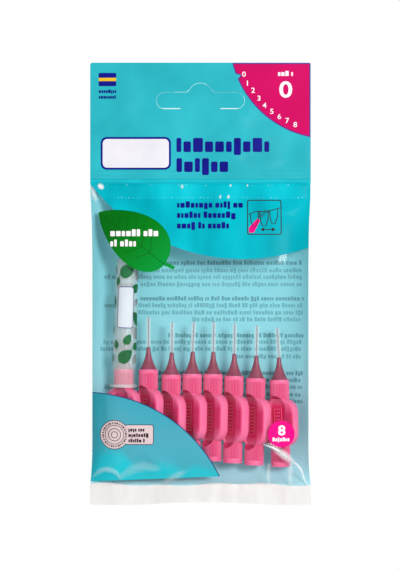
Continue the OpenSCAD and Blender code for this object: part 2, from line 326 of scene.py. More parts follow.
# Each crease: its line (photograph pixels), half width and height (millimetres, outwards)
FRONT_CREASES = [
    ([(262, 442), (272, 446.6), (280, 451.2), (287, 457), (295, 462), (300, 467.5), (303, 475),
      (305, 483)], 0.85, 0.62),
    ([(93, 471), (108, 470), (116, 473), (120, 479), (119, 486)], 0.8, 0.4),
    ([(172, 480), (180, 474), (186, 471)], 0.9, 0.45),
    ([(122, 478), (132, 468), (142, 465), (150, 468), (160, 477)], 1.8, 0.55),
    ([(96, 474), (128, 444)], 2.6, -1.0),
    ([(146, 452), (172, 474)], 2.4, 0.7),
    ([(214, 470), (246, 482)], 1.6, 0.45),
    ([(232, 486), (262, 470)], 1.3, -0.4),
    ([(267, 484), (269, 466)], 1.0, 0.4),
    ([(290, 484), (289, 466)], 1.0, 0.45),
    ([(101, 250), (101, 330)], 1.6, -0.35),
    ([(96, 380), (104, 440)], 1.8, -0.5),
    ([(296, 270), (300, 350)], 1.6, 0.3),
    ([(300, 380), (304, 440)], 1.4, -0.35),
    ([(150, 186), (141, 204)], 1.8, 0.25),
    ([(206, 184), (210, 200)], 1.4, 0.2),
    ([(262, 184), (256, 200)], 1.4, 0.2),
    ([(240, 204), (232, 240)], 3.0, 0.3),
]
BACK_CREASES = [
    ([(120, 300), (180, 340)], 3.5, -0.5),
    ([(300, 250), (240, 300)], 3.5, 0.4),
    ([(110, 440), (150, 470)], 2.6, 0.6),
    ([(290, 430), (250, 476)], 2.6, 0.6),
    ([(200, 476), (206, 440)], 2.4, 0.5),
    ([(104, 380), (112, 430)], 2.0, -0.4),
    ([(304, 330), (296, 400)], 2.0, -0.4),
    ([(170, 478), (160, 456)], 1.5, -0.4),
]


def crease_height(x, z, creases):
    """The height in metres that the creases add at a place on the film."""
    total = 0.0
    here = Vector((x, z))
    for line, half_width, height in creases:
        points = [Vector((photo_x(px), photo_z(py))) for px, py in line]
        nearest, along = CREASE_REACH, 0.0
        for k, (start, end) in enumerate(zip(points, points[1:])):
            step = end - start
            share = min(1, max(0, (here - start).dot(step) / step.length_squared))
            distance = (here - start - step * share).length / (half_width * MM)
            if distance < nearest:
                nearest, along = distance, (k + share) / (len(points) - 1)
        if nearest < CREASE_REACH:
            fade = 1 - CREASE_END_FADE * (2 * along - 1) ** 2
            total += height * MM * math.exp(-nearest * nearest) * fade
    return total


print("creases in front and behind:", len(FRONT_CREASES), len(BACK_CREASES))

# %% [markdown]
# ## The pouch's bulge
#
# The film is flat at the weld, swells over the brushes and is drawn in again at the zip. Its face is
# one function of the place across and the height, so every print can find it too.

# %% Bulge of the pouch
def rise(distance, ramp, power):
    """The share of a ramp that is reached at a distance from its start."""
    share = min(1, max(0, distance / ramp))
    return 1 - (1 - share) ** power


def level(z):
    """The distance from the middle plane to the film's inner face on the centre line."""
    if z >= ZIP_TOP_Z:
        return ZIP_BULGE * (FOLD_Z - FOLD_GAP - z) / (FOLD_Z - FOLD_GAP - ZIP_TOP_Z)
    if z >= ZIP_LOW_Z:
        return ZIP_BULGE
    full = ZIP_BULGE + (BULGE - ZIP_BULGE) * rise(ZIP_LOW_Z - z, MOUTH_RAMP_H, MOUTH_RAMP_POWER)
    return full * rise(z - SEAL_Z, FOOT_RAMP_H, FOOT_RAMP_POWER)


def half_width(z):
    """Half the pouch's width at a height: it draws in where it bulges."""
    return PACK_W / 2 - WAIST * max(0, level(z)) / BULGE


def film_inside(x, z, creases):
    """The distance from the middle plane to the inner face of a layer of film."""
    z_film = min(FOLD_Z - FOLD_GAP, z)
    share = min(1, abs(x) / half_width(z_film))
    ramp = max(0, 1 - max(0, ZIP_LOW_Z - z_film) / FULLNESS_RAMP_H)
    fullness = BODY_FULLNESS + (ZIP_FULLNESS - BODY_FULLNESS) * ramp
    smooth = level(z_film) * (1 - share ** fullness)
    edge = min(1, (1 - share) * SIDE_FADE_STEEPNESS) * min(1, max(0, (ZIP_LOW_Z - z) / CREASE_RAMP_H))
    wave = math.sin(x * PUCKER_WAVE + PUCKER_BEND * math.sin(x * PUCKER_BEND_WAVE))
    pucker = PUCKER_H * wave * math.exp(-abs(z - SEAL_Z) / PUCKER_REACH)
    crease = crease_height(x, z, creases) if edge > 0 else 0
    return WELD_GAP + smooth + edge * (crease + pucker * min(1, smooth / PUCKER_ROOM))


def front_y(x, z, out=0.0):
    """The front film's outer face, and out metres in front of it."""
    return -(film_inside(x, z, FRONT_CREASES) + FILM_T + out)


def back_y(x, z, out=0.0):
    """The back film's outer face, and out metres behind it."""
    return film_inside(x, z, BACK_CREASES) + FILM_T + out


print(f"film bulges to {front_y(0, photo_z(345)) / MM:.1f} mm in front")

# %% [markdown]
# ## Printed and clear film
#
# The pouch is drawn polypropylene film. Its two layers share a few things: where a point lies on the
# film, the band at the foot that is welded and turns whitish, and the bare welded sides. Each is a
# small function that adds its nodes to a material.

# %% What both films share
BAND_TOP_Z = photo_z(484.5)
BAND_WAVES = ((330, 0.25 * MM), (117, 0.4 * MM))


def flat_place(tree):
    """The shaded point's x, its z, its place flattened on the XZ plane, and its full place."""
    place = add(tree, "TexCoord", out="Object")
    split = add(tree, "SeparateXYZ", place).node.outputs
    return split["X"], split["Z"], add(tree, "CombineXYZ", split["X"], 0, split["Z"]), place


def seal_share(tree, x, z):
    """1 in the welded band at the foot of the pouch, 0 above its wavy upper edge."""
    edge = BAND_TOP_Z
    for radians_a_metre, height in BAND_WAVES:
        turn = add(tree, "Math", x, radians_a_metre, operation="MULTIPLY")
        wave = add(tree, "Math", turn, operation="SINE")
        edge = add(tree, "Math", wave, height, edge, operation="MULTIPLY_ADD")
    return add(tree, "Math", z, edge, operation="LESS_THAN")


def side_margin(tree, film):
    """Puts bare clear film where the sheet's own margin attribute is not 0: the welded sides."""
    margin = add(tree, "Attribute", attribute_name="margin", out="Fac")
    out = add(tree, "Math", margin, 0.001, operation="GREATER_THAN")
    haze = add(tree, "BsdfPrincipled", linear("#f2f6f6"), named={"Roughness": 0.25})
    clear = add(tree, "MixShader", 0.16, add(tree, "BsdfTransparent", linear("#ffffff")), haze)
    return add(tree, "MixShader", out, film, clear)


def welded_band(tree, place, below):
    """Whitish film where the two layers are welded, with the fibrous marks of the hot bar."""
    marks = add(tree, "TexNoise", add(tree, "Mapping", place, named={"Scale": (1, 1, 0.25)}),
                named={"Scale": 260, "Detail": 3})
    white = add(tree, "ValToRGB", marks, stops=[(0.3, "#f3efed"), (0.75, "#fffdfc")])
    bump = add(tree, "Bump", named={"Height": marks, "Strength": 0.3, "Distance": 0.12 * MM})
    milk = add(tree, "BsdfPrincipled", white, named={"Roughness": 0.28, "Normal": bump})
    through = add(tree, "BsdfTransparent", linear("#ffffff"))
    return add(tree, "MixShader", below, through, milk)


# %% [markdown]
# ## The front film's material
#
# Clear film hardly shows, apart from the light it throws back, so its shader mixes a transparent
# surface with a glossy one, more at a grazing view. Printed film is opaque. A picture of the print
# would blur close by. The two print areas are parts of large circles, so the distance from each
# circle's centre gives an edge that is sharp at any size.

# %% Front film material
ARC_CENTRE, ARC_R = (15.24 * MM, 0, 9.78 * MM), 69.3 * MM
CORNER_CENTRE, CORNER_R = (-40.93 * MM, 0, -160.6 * MM), 53.0 * MM
CORNER_LINE_W = 0.32 * MM
CORNER_FOOT_Z, CORNER_FOOT_SLOPE = photo_z(476.6), 0.042
INK_SWIRL_H = 16 * MM

# Clear film, printed from behind in two places: glossy, with a faint haze where it is clear
front_material, tree, surface = new_material("printed_polypropylene_film")
x, z, flat, place = flat_place(tree)
haze = add(tree, "TexNoise", place, named={"Scale": 90, "Detail": 3})
ripple = add(tree, "TexNoise", place, named={"Scale": 160, "Detail": 2})
skin = add(tree, "Bump", named={"Height": ripple, "Strength": 0.3, "Distance": 0.1 * MM})
clear = add(tree, "BsdfTransparent", linear("#fbfefe"))
gloss = add(tree, "BsdfGlossy", named={"Color": linear("#ffffff"), "Roughness": 0.08, "Normal": skin})
grazing = add(tree, "LayerWeight", 0.5, skin, out="Facing")
bounce = add(tree, "Math", grazing, 5, operation="POWER")
veil = add(tree, "MapRange", haze, named={"To Min": 0.003, "To Max": 0.014})
share = add(tree, "Math", bounce, 0.5, veil, operation="MULTIPLY_ADD")
clear_film = add(tree, "MixShader", share, clear, gloss)

from_corner = add(tree, "VectorMath", flat, CORNER_CENTRE, operation="DISTANCE", out="Value")
from_arc = add(tree, "VectorMath", flat, ARC_CENTRE, operation="DISTANCE", out="Value")
in_arc = add(tree, "Math", from_arc, ARC_R, operation="LESS_THAN")
in_corner = add(tree, "Math", from_corner, CORNER_R, operation="LESS_THAN")
foot_edge = add(tree, "Math", x, CORNER_FOOT_SLOPE, CORNER_FOOT_Z, operation="MULTIPLY_ADD")
in_corner = add(tree, "Math", in_corner, add(tree, "Math", z, foot_edge, operation="GREATER_THAN"),
                operation="MULTIPLY")
near_line = add(tree, "Math", from_corner, CORNER_R - CORNER_LINE_W, operation="GREATER_THAN")
on_line = add(tree, "Math", near_line, in_corner, operation="MULTIPLY")

# Inks, with painted light: the arc's is lighter and darker in upright streaks, painted shade of soft
# folds. The corner's has painted shade at the left edge, where the film turns away, a greyish painted
# reflection over its middle, and is painted brighter towards the foot
cloud = add(tree, "TexNoise", add(tree, "Mapping", place, named={"Scale": (1.5, 1, 0.5)}),
            named={"Scale": 45, "Detail": 2})
arc_ink_and_fold_shade = add(tree, "ValToRGB", cloud, stops=[(0.3, "#009cab"), (0.55, "#05bac9"), (0.75, "#18cbd8")])
swirl = add(tree, "Math", cloud, INK_SWIRL_H, operation="MULTIPLY")
height = add(tree, "Math", add(tree, "Math", x, 0.12, z, operation="MULTIPLY_ADD"), swirl, operation="ADD")
height = add(tree, "MapRange", height, photo_z(486) + INK_SWIRL_H / 2, photo_z(400) + INK_SWIRL_H / 2)
corner_ink_and_light = add(tree, "ValToRGB", height, stops=[
    (0, "#1ec8d6"), (0.17, "#26c0cf"), (0.27, "#45a8ba"), (0.6, "#4aa2b6"), (1, "#2a9fb2")])
# Painted shade along the corner's left edge
left_edge_shade = add(tree, "MapRange", x, photo_x(118), photo_x(92), named={"To Max": 0.85})
for share, ink in ((left_edge_shade, "#089fb0"), (on_line, "#123a72")):
    corner_ink_and_light = add(tree, "Mix", data_type="RGBA", named={0: share, 6: corner_ink_and_light, 7: linear(ink)}, out=2)
arc_print = add(tree, "BsdfPrincipled", arc_ink_and_fold_shade,
                named={"Roughness": 0.34, "Specular IOR Level": 0.03, "Normal": skin})
corner_print = add(tree, "BsdfPrincipled", corner_ink_and_light,
                   named={"Roughness": 0.22, "Specular IOR Level": 0.16, "Normal": skin})
printed = add(tree, "MixShader", in_corner, arc_print, corner_print)
in_print = add(tree, "Math", in_arc, in_corner, operation="MAXIMUM")
film = add(tree, "MixShader", in_print, clear_film, printed)
seal = seal_share(tree, x, z)
band = welded_band(tree, place, 0.55)
film = side_margin(tree, film)
tree.links.new(add(tree, "MixShader", seal, film, band), surface)
print("front film nodes:", len(tree.nodes))

# %% [markdown]
# ## The back film's material
#
# The back film is printed pale turquoise all over, down to the welded band. Its colour is painted
# lighter towards the foot, a painted glow where the brushes' shade falls. It is thin, so a share of
# the light that falls on its back glows through, which a translucent shader gives.

# %% Back film material
back_material, tree, surface = new_material("turquoise_polypropylene_film")
x, z, flat, place = flat_place(tree)
cloud = add(tree, "TexNoise", place, named={"Scale": 60, "Detail": 3})
# Painted light: both shades get lighter towards the foot
height = add(tree, "MapRange", z, photo_z(484), photo_z(250))
pale = add(tree, "ValToRGB", height,
           stops=[(0, "#c9eef4"), (0.35, "#b8e8ee"), (0.75, "#a6e6ed"), (1, "#a0e3ea")])
deep = add(tree, "ValToRGB", height, stops=[(0, "#bde4ec"), (1, "#96dae3")])
colour = add(tree, "Mix", data_type="RGBA", named={0: cloud, 6: deep, 7: pale}, out=2)
ripple = add(tree, "TexNoise", place, named={"Scale": 120, "Detail": 2})
skin = add(tree, "Bump", named={"Height": ripple, "Strength": 0.3, "Distance": 0.12 * MM})
printed = add(tree, "BsdfPrincipled", colour,
              named={"Roughness": 0.34, "Specular IOR Level": 0.2, "Normal": skin})
glow = add(tree, "BsdfTranslucent", colour)
printed = add(tree, "MixShader", 0.3, printed, glow)
band = welded_band(tree, place, 0.75)
printed = side_margin(tree, printed)
tree.links.new(add(tree, "MixShader", seal_share(tree, x, z), printed, band), surface)
print("back film nodes:", len(tree.nodes))

# %% [markdown]
# ## Sheets of film
#
# A sheet could be a plane with a Solidify modifier. Here a bmesh grid is laid in the XZ plane, its
# columns are drawn closer together towards the welded sides where the film turns in most, and each
# point is moved to the film's surface. Extruding the whole sheet once gives it its thickness.

# %% Build the two layers of film
FILM_COLUMNS = 168
FILM_ROWS = 236
ROW_CROWDING = 1.3
COLUMN_CROWDING = 0.45
MARGIN_SHARE = 4 / FILM_COLUMNS
MARGIN_OUT = 0.05 * MM
FOOT_WAVE_H, FOOT_WAVE, FOOT_WAVE_START = 1.1 * MM, 95, 1.4


def thicken(bm, thickness):
    """Extrudes an open sheet towards +Y into a closed slab."""
    extruded = bmesh.ops.extrude_face_region(bm, geom=bm.faces[:])
    moved = [v for v in extruded["geom"] if isinstance(v, bmesh.types.BMVert)]
    bmesh.ops.translate(bm, verts=moved, vec=(0, thickness, 0))
    bmesh.ops.recalc_face_normals(bm, faces=bm.faces[:])


def film_layer(side_y):
    """A closed layer of film. side_y gives the y of its outer face at a place."""
    bm = bmesh.new()
    margin = bm.verts.layers.float.new("margin")
    bmesh.ops.create_grid(bm, x_segments=FILM_COLUMNS, y_segments=FILM_ROWS, size=1)
    top_z, low_z = FOLD_Z - FOLD_GAP, BOTTOM_Z
    for vert in bm.verts:
        u, v = vert.co.x, (vert.co.y + 1) / 2
        inner = min(1, max(-1, u / (1 - MARGIN_SHARE)))
        z = low_z + (top_z - low_z) * v ** ROW_CROWDING
        crowded = (1 - COLUMN_CROWDING) * inner + COLUMN_CROWDING * math.sin(inner * math.pi / 2)
        across = crowded * half_width(z)
        spare = abs(u - inner * (1 - MARGIN_SHARE)) / MARGIN_SHARE
        if spare > 0.01:
            across += math.copysign(spare * (PACK_W / 2 - MARGIN_OUT - half_width(z)), u)
        foot = min(1, max(0, (SEAL_Z - z) / (SEAL_Z - BOTTOM_Z)))
        wave = FOOT_WAVE_H * (1 + math.sin(across * FOOT_WAVE + FOOT_WAVE_START)) / 2
        vert[margin] = 1 if spare > 0.01 else 0
        vert.co = (across, 0, z + foot * wave)
    thicken(bm, FILM_T)
    side = math.copysign(1, side_y(0, top_z))
    for vert in bm.verts:
        lift = vert.co.y if side < 0 else -vert.co.y
        vert.co.y = side_y(vert.co.x, vert.co.z) + lift
    bmesh.ops.recalc_face_normals(bm, faces=bm.faces[:])
    return bm


front_sheet = finish(film_layer(front_y), "front_film_sheet", front_material, "pouch", ["front_film"],
                     crease=60)
finish(film_layer(back_y), "back_film_sheet", back_material, "pouch", ["back_film"], crease=60)
print("film triangles:", 2 * sum(len(p.vertices) - 2 for p in front_sheet.data.polygons))

# %% [markdown]
# ## The header
#
# The header is the same film, welded flat and printed turquoise. Its outline has the hang hole in
# it, so it is made from outlines: a fill closes the sheet between them, and cuts along a fine net
# let it follow soft dents. The tab is drawn the same way, a die cut smaller, and lies in the hole.

# %% Outlines and nets
HANG_W = 32 * MM
SLOT_H = 6.1 * MM
SLOT_TOP_Z = 1.1 * MM
SLOT_LOW_Z = SLOT_TOP_Z - SLOT_H
SLOT_MID_Z = SLOT_TOP_Z - SLOT_H / 2
SLOT_END_X = (HANG_W - SLOT_H) / 2
ARCH_R, ARCH_START = 4.4 * MM, 31
FLARE_FOOT_X = 5.11 * MM
FLARE_TOP_X, FLARE_TOP_Z = 4.78 * MM, 1.55 * MM
TAB_CUT_W = 0.05 * MM
TAB_HINGE_GAP = 0.3 * MM
HEADER_CORNER_R = 0.8 * MM


def arc(centre, radius, start, end, steps):
    """Points on an arc, with angles in degrees from +x towards +z."""
    return [(centre[0] + radius * math.cos(math.radians(start + (end - start) * k / steps)),
             centre[1] + radius * math.sin(math.radians(start + (end - start) * k / steps)))
            for k in range(steps + 1)]


def round_rect(left, low, right, top, radius, steps=6):
    """The outline of a rectangle with round corners."""
    return (arc((right - radius, top - radius), radius, 0, 90, steps)
            + arc((left + radius, top - radius), radius, 90, 180, steps)
            + arc((left + radius, low + radius), radius, 180, 270, steps)
            + arc((right - radius, low + radius), radius, 270, 360, steps))


def hang_outline(inset):
    """The euro hole: a slot with round ends and an arch over its middle, joined by short flares."""
    flare = [(FLARE_FOOT_X - inset, SLOT_TOP_Z - inset), (FLARE_TOP_X - inset, FLARE_TOP_Z - inset)]
    right = arc((SLOT_END_X, SLOT_MID_Z), SLOT_H / 2 - inset, -90, 90, 16) + flare
    over = arc((0, 0), ARCH_R - inset, ARCH_START, 180 - ARCH_START, 24)
    left = [(-x, z) for x, z in reversed(right)]
    return right + over + left


def cut_net(bm, cell):
    """Cuts a mesh along every line of a net in the XZ plane."""
    for axis in (0, 2):
        low = min(v.co[axis] for v in bm.verts)
        high = max(v.co[axis] for v in bm.verts)
        for k in range(math.floor(low / cell) + 1, math.ceil(high / cell)):
            point = Vector()
            point[axis] = k * cell
            normal = Vector()
            normal[axis] = 1
            bmesh.ops.bisect_plane(bm, geom=bm.verts[:] + bm.edges[:] + bm.faces[:], dist=0.001 * MM,
                                   plane_co=point, plane_no=normal)


def net(outlines, cell, thickness):
    """A thin slab in the XZ plane, inside the first outline and outside the others, cut into a net."""
    bm = bmesh.new()
    for outline in outlines:
        ring = [bm.verts.new((x, 0, z)) for x, z in outline]
        for k, vert in enumerate(ring):
            bm.edges.new((vert, ring[(k + 1) % len(ring)]))
    bmesh.ops.remove_doubles(bm, verts=bm.verts[:], dist=0.001 * MM)
    bmesh.ops.triangle_fill(bm, use_beauty=True, edges=bm.edges[:], normal=(0, -1, 0))
    cut_net(bm, cell)
    thicken(bm, thickness)
    return bm


def drape(bm, surface):
    """Lays a thin slab on a surface, given as the y at a place."""
    for vert in bm.verts:
        vert.co.y += surface(vert.co.x, vert.co.z)
    return bm


# %% [markdown]
# ## Dents of the header
#
# The header has been handled, and soft dents catch the light. They take the same form as the
# pouch's creases, with heights forwards. The header stays flat at its fold and its top edge, and
# along the tab's hinge, so that nothing meets when these fold.

# %% Place the dents
FLAT_FOOT_H = 1.5 * MM
FOOT_DENT_RAMP_H, TOP_DENT_RAMP_H = 6 * MM, 5 * MM
STILL_H, STILL_RAMP_H, STILL_RAMP_W = 1.2 * MM, 3 * MM, 4 * MM
HEADER_DENTS = [
    ([(262, 140), (214, 176)], 4.0, 0.5),
    ([(296, 140), (280, 172)], 3.0, -0.45),
    ([(150, 100), (120, 132)], 6.0, -0.4),
    ([(176, 118), (160, 134)], 4.0, 0.35),
    ([(250, 112), (276, 124)], 5.0, -0.3),
    ([(112, 66), (130, 110)], 5.0, 0.3),
    ([(230, 128), (246, 116)], 4.0, 0.3),
    ([(132, 172), (168, 166)], 3.0, -0.25),
    ([(304, 150), (306, 172)], 2.2, 0.3),
    ([(96, 150), (97, 172)], 2.2, 0.3),
    ([(214, 97), (240, 99)], 3.0, -0.35),
    ([(226, 150), (244, 172)], 2.6, 0.4),
    ([(256, 176), (300, 158)], 3.0, -0.4),
    ([(140, 116), (100, 108)], 4.5, 0.3),
]


def header_y(x, z, out=0.0):
    """The header's front face, and out metres in front of it."""
    ends = min(1, max(0, (z - FOLD_Z - FLAT_FOOT_H) / FOOT_DENT_RAMP_H))
    ends *= min(1, max(0, (HEADER_TOP_Z - z) / TOP_DENT_RAMP_H))
    off_hinge = (abs(z - SLOT_LOW_Z) - STILL_H) / STILL_RAMP_H
    beside = (abs(x) - HANG_W / 2) / STILL_RAMP_W
    still = min(1, max(0, off_hinge) + max(0, beside))
    return -HEADER_T / 2 - out - ends * still * crease_height(x, z, HEADER_DENTS)


print("dents:", len(HEADER_DENTS))

# %% [markdown]
# ## The header's film and its two pieces
#
# The header's ink lies under gloss lacquer, so it shines softly. Ink comes back on many pieces, so
# one function makes it from two near shades of a colour. The sheet and the tab are then cut from
# their outlines, and laid on the dented face.

# %% Header material and pieces
def cloudy_ink(name, dark, light, cloud_mm=18.0, roughness=0.36, specular=0.07):
    """Printing ink under gloss lacquer: its colour drifts a little over a few millimetres."""
    material, tree, surface = new_material(name)
    place = add(tree, "TexCoord", out="Object")
    cloud = add(tree, "TexNoise", place, named={"Scale": 1 / (cloud_mm * MM), "Detail": 3})
    colour = add(tree, "ValToRGB", cloud, stops=[(0.3, dark), (0.7, light)])
    skin = grained(tree, place, 0.8 * MM, 0.15, 0.03 * MM)
    shader = add(tree, "BsdfPrincipled", colour,
                 named={"Roughness": roughness, "Specular IOR Level": specular, "Normal": skin})
    tree.links.new(shader, surface)
    return material


header_material = cloudy_ink("turquoise_lacquered_film", "#1fa4b1", "#2bb7c4", specular=0.12)
NET_CELL = 1.1 * MM

corner_x, corner_z = PACK_W / 2 - HEADER_CORNER_R, HEADER_TOP_Z - HEADER_CORNER_R
header_outline = (arc((corner_x, corner_z), HEADER_CORNER_R, 0, 90, 4)
                  + arc((-corner_x, corner_z), HEADER_CORNER_R, 90, 180, 4)
                  + [(-PACK_W / 2, FOLD_Z + FOLD_GAP), (PACK_W / 2, FOLD_Z + FOLD_GAP)])
header_sheet = finish(drape(net([header_outline, hang_outline(0)], NET_CELL, HEADER_T), header_y),
                      "header_sheet", header_material, "header", ["header_film"])

tab_outline = [(x, max(z, SLOT_LOW_Z + TAB_HINGE_GAP)) for x, z in hang_outline(TAB_CUT_W)]
tab_sheet = finish(drape(net([tab_outline], NET_CELL, HEADER_T), header_y),
                   "tab_sheet", header_material, "hang_tab", ["hang_tab"])
print("header and tab faces:", len(header_sheet.data.polygons), len(tab_sheet.data.polygons))

# %% [markdown]
# ## Strips over two flexing joints
#
# The header folds on the pouch and the tab folds on the header. Both are living hinges: the film
# itself bends. A strip of film is laid over each fold line.

# %% Fold strips
FOLD_LAP = 0.55 * MM
FOLD_LINE_W = 0.16 * MM
SKIN = 0.02 * MM

# The pouch's brighter print starts at the fold, with a painted shadow line along the strip's top edge
fold_material, tree, surface = new_material("creased_turquoise_film")
x, z, flat, place = flat_place(tree)
cloud = add(tree, "TexNoise", place, named={"Scale": 70, "Detail": 2})
bright = add(tree, "ValToRGB", cloud, stops=[(0.3, "#02aebd"), (0.7, "#0cc0cf")])
on_line = add(tree, "Math", z, FOLD_Z + FOLD_GAP + FOLD_LAP - FOLD_LINE_W, operation="GREATER_THAN")
colour = add(tree, "Mix", data_type="RGBA", named={0: on_line, 6: bright, 7: linear("#137f8d")}, out=2)
tree.links.new(add(tree, "BsdfPrincipled", colour,
                   named={"Roughness": 0.3, "Specular IOR Level": 0.15}), surface)

bm = bmesh.new()
bmesh.ops.create_grid(bm, x_segments=120, y_segments=12, size=0.5)
fold_top, fold_low = FOLD_Z + FOLD_GAP + FOLD_LAP, FOLD_Z - FOLD_GAP - FOLD_LAP
for vert in bm.verts:
    z = fold_low + (fold_top - fold_low) * (vert.co.y + 0.5)
    vert.co = (vert.co.x * PACK_W, 0, z)
thicken(bm, 1)
for vert in bm.verts:
    face_y = min(header_y(vert.co.x, vert.co.z), front_y(vert.co.x, vert.co.z)) - SKIN
    vert.co.y = face_y if vert.co.y < 0.5 else -face_y
bmesh.ops.recalc_face_normals(bm, faces=bm.faces[:])
fold_strip = finish(bm, "fold_strip", fold_material, None)
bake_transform(fold_strip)

TAB_HINGE_W = (221 - 181) * PIXEL
tab_low, tab_top = SLOT_LOW_Z - FOLD_LAP, SLOT_LOW_Z + TAB_HINGE_GAP + FOLD_LAP
bm = bmesh.new()
bmesh.ops.create_grid(bm, x_segments=24, y_segments=12, size=0.5)
for vert in bm.verts:
    vert.co = (vert.co.x * TAB_HINGE_W, 0, tab_low + (tab_top - tab_low) * (vert.co.y + 0.5))
thicken(bm, HEADER_T + 2 * SKIN)
tab_strip = finish(drape(bm, lambda x, z: header_y(x, z, SKIN)), "tab_strip", header_material, None)
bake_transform(tab_strip)
print(f"strips {(fold_top - fold_low) / MM:.2f} and {(tab_top - tab_low) / MM:.2f} mm high")

# %% [markdown]
# ## The handles
#
# A handle is one moulding: a ribbed tail, a flat paddle with a thumb pocket on each side, and a
# ribbed collar. Its parts are simple closed shapes, so they are drawn one by one and joined with
# booleans. The pocket sits a little below the paddle's middle. It is cut with a stadium-shaped tool
# whose walls flare at the paddle's face, which leaves the soft rim of a real mould. One handle is
# built, and copied to its eight places.

# %% Handle shapes
RIB_COUNT = 36
RIB_DEPTH = 0.22 * MM
END_RING_H = 0.7 * MM
GROOVE_H = 0.35 * MM
GROOVE_DEPTH = 0.2 * MM
GROOVE_SLOPE_H = 0.06 * MM
RIB_SETBACK = 0.02 * MM
RIB_SLOPE_H = 0.08 * MM
END_BEVEL = 0.25 * MM
COLLAR_RIM_H = 0.8 * MM
ROD_LAP = 1.2 * MM
PADDLE_CORNER_R = 5 * MM
PADDLE_EDGE_R = 1.2 * MM
PADDLE_Z = TAIL_H + PADDLE_H / 2
POCKET_W = 7.2 * MM
POCKET_DROP = 0.4 * MM
SCOOP_H = 0.75 * MM
FILLET, FLARE = 0.5 * MM, 0.28 * MM
WEB_T = 2.2 * MM
ROD_R = COLLAR_D / 2
GRIP_COUNT = 9
GRIP_PITCH = 1.2 * MM
GRIP_W = 1.9 * MM
GRIP_H = 0.4 * MM
GRIP_SIDE_X = 1.6 * MM
GRIP_SIDE_W = 0.26 * MM
GRIP_OUT = 0.3 * MM


print(f"handle {HANDLE_H / MM:.1f} mm tall, {COLLAR_D / MM:.1f} mm across its collar")


# %% Turned, boxed, rounded and ribbed shapes
def turned(profile, steps=72):
    """A closed body of revolution about Z. The profile runs from axis to axis as (radius, height)."""
    bm = bmesh.new()
    points = [bm.verts.new((r, 0, z)) for r, z in profile]
    edges = [bm.edges.new(pair) for pair in zip(points, points[1:])]
    bmesh.ops.spin(bm, geom=points + edges, cent=(0, 0, 0), axis=(0, 0, 1), angle=math.tau,
                   steps=steps, use_merge=True)
    bmesh.ops.remove_doubles(bm, verts=bm.verts[:], dist=0.002 * MM)
    bmesh.ops.recalc_face_normals(bm, faces=bm.faces[:])
    return bm


def box(bm, size, middle=(0, 0, 0)):
    """Adds a box and returns its corners."""
    verts = bmesh.ops.create_cube(bm, size=1)["verts"]
    bmesh.ops.scale(bm, verts=verts, vec=size)
    bmesh.ops.translate(bm, verts=verts, vec=middle)
    return verts


def round_edges(bm, edges, radius, segments):
    """Rounds edges over to a radius."""
    bmesh.ops.bevel(bm, geom=edges, offset=radius, segments=segments, profile=0.5, affect="EDGES",
                    material=-1)


def ribbed(bm, low, high):
    """Presses every second point of the wall between two heights inwards, which leaves ribs."""
    for vert in bm.verts:
        radius = math.hypot(vert.co.x, vert.co.y)
        if low - 0.01 * MM < vert.co.z < high + 0.01 * MM and radius > ROD_R - RIB_DEPTH:
            turn = round(math.atan2(vert.co.y, vert.co.x) / (math.tau / (2 * RIB_COUNT)))
            if turn % 2:
                shrink = 1 - RIB_DEPTH / radius
                vert.co.x *= shrink
                vert.co.y *= shrink
    return bm


# %% [markdown]
# ## The pocket's cutter
#
# The thumb pocket has a flat floor, a small fillet, an upright wall and a flared rim. The cutter is
# a stack of stadium-shaped rings that are bridged, and a boolean takes it away from the paddle.

# %% Pocket cutter and booleans
def ring_of(bm, radius, straight, y, steps=16):
    """A stadium-shaped ring of edges that stands in an XZ plane at y."""
    outline = arc((0, straight / 2), radius, 0, 180, steps)
    outline += arc((0, -straight / 2), radius, 180, 360, steps)
    ring = [bm.verts.new((x, y, z)) for x, z in outline]
    return [bm.edges.new((vert, ring[(k + 1) % len(ring)])) for k, vert in enumerate(ring)]


def pocket_cutter():
    """The tool that cuts the pocket on the +Y side, centred on the origin."""
    straight = PADDLE_H + 2 * SCOOP_H - POCKET_W
    floor_y, face_y = WEB_T / 2, PADDLE_T / 2
    levels = [
        (floor_y, -FILLET), (floor_y + 0.12 * FILLET, -0.5 * FILLET),
        (floor_y + 0.5 * FILLET, -0.12 * FILLET), (floor_y + FILLET, 0),
        (face_y - FLARE, 0), (face_y - 0.5 * FLARE, 0.13 * FLARE),
        (face_y - 0.13 * FLARE, 0.5 * FLARE), (face_y + 0.02 * MM, FLARE),
        (face_y + 1.4 * MM, FLARE + 0.7 * MM), (COLLAR_D, FLARE + 0.8 * MM)]
    bm = bmesh.new()
    rings = [ring_of(bm, POCKET_W / 2 + outset, straight, y) for y, outset in levels]
    for lower, upper in zip(rings, rings[1:]):
        bmesh.ops.bridge_loops(bm, edges=lower + upper)
    for ring in (rings[0], rings[-1]):
        bmesh.ops.contextual_create(bm, geom=ring)
    bmesh.ops.recalc_face_normals(bm, faces=bm.faces[:])
    return bm


def combine(base, tool, operation):
    """Joins a closed bmesh with another (UNION) or cuts it away (DIFFERENCE). Frees both."""
    meshes = []
    for bm in (base, tool):
        mesh = bpy.data.meshes.new("shape")
        bm.to_mesh(mesh)
        bm.free()
        meshes.append(mesh)
    objects = [bpy.data.objects.new("shape", mesh) for mesh in meshes]
    for shape in objects:
        bpy.context.scene.collection.objects.link(shape)
    cut = objects[0].modifiers.new("cut", "BOOLEAN")
    cut.operation = operation
    cut.object = objects[1]
    cut.solver = "MANIFOLD"
    bpy.context.view_layer.update()
    result = bmesh.new()
    result.from_mesh(objects[0].evaluated_get(bpy.context.evaluated_depsgraph_get()).to_mesh())
    for shape in objects:
        bpy.data.objects.remove(shape)
    return result


print(f"pocket {POCKET_W / MM:.1f} mm wide and {(PADDLE_T - WEB_T) / 2 / MM:.2f} mm deep")


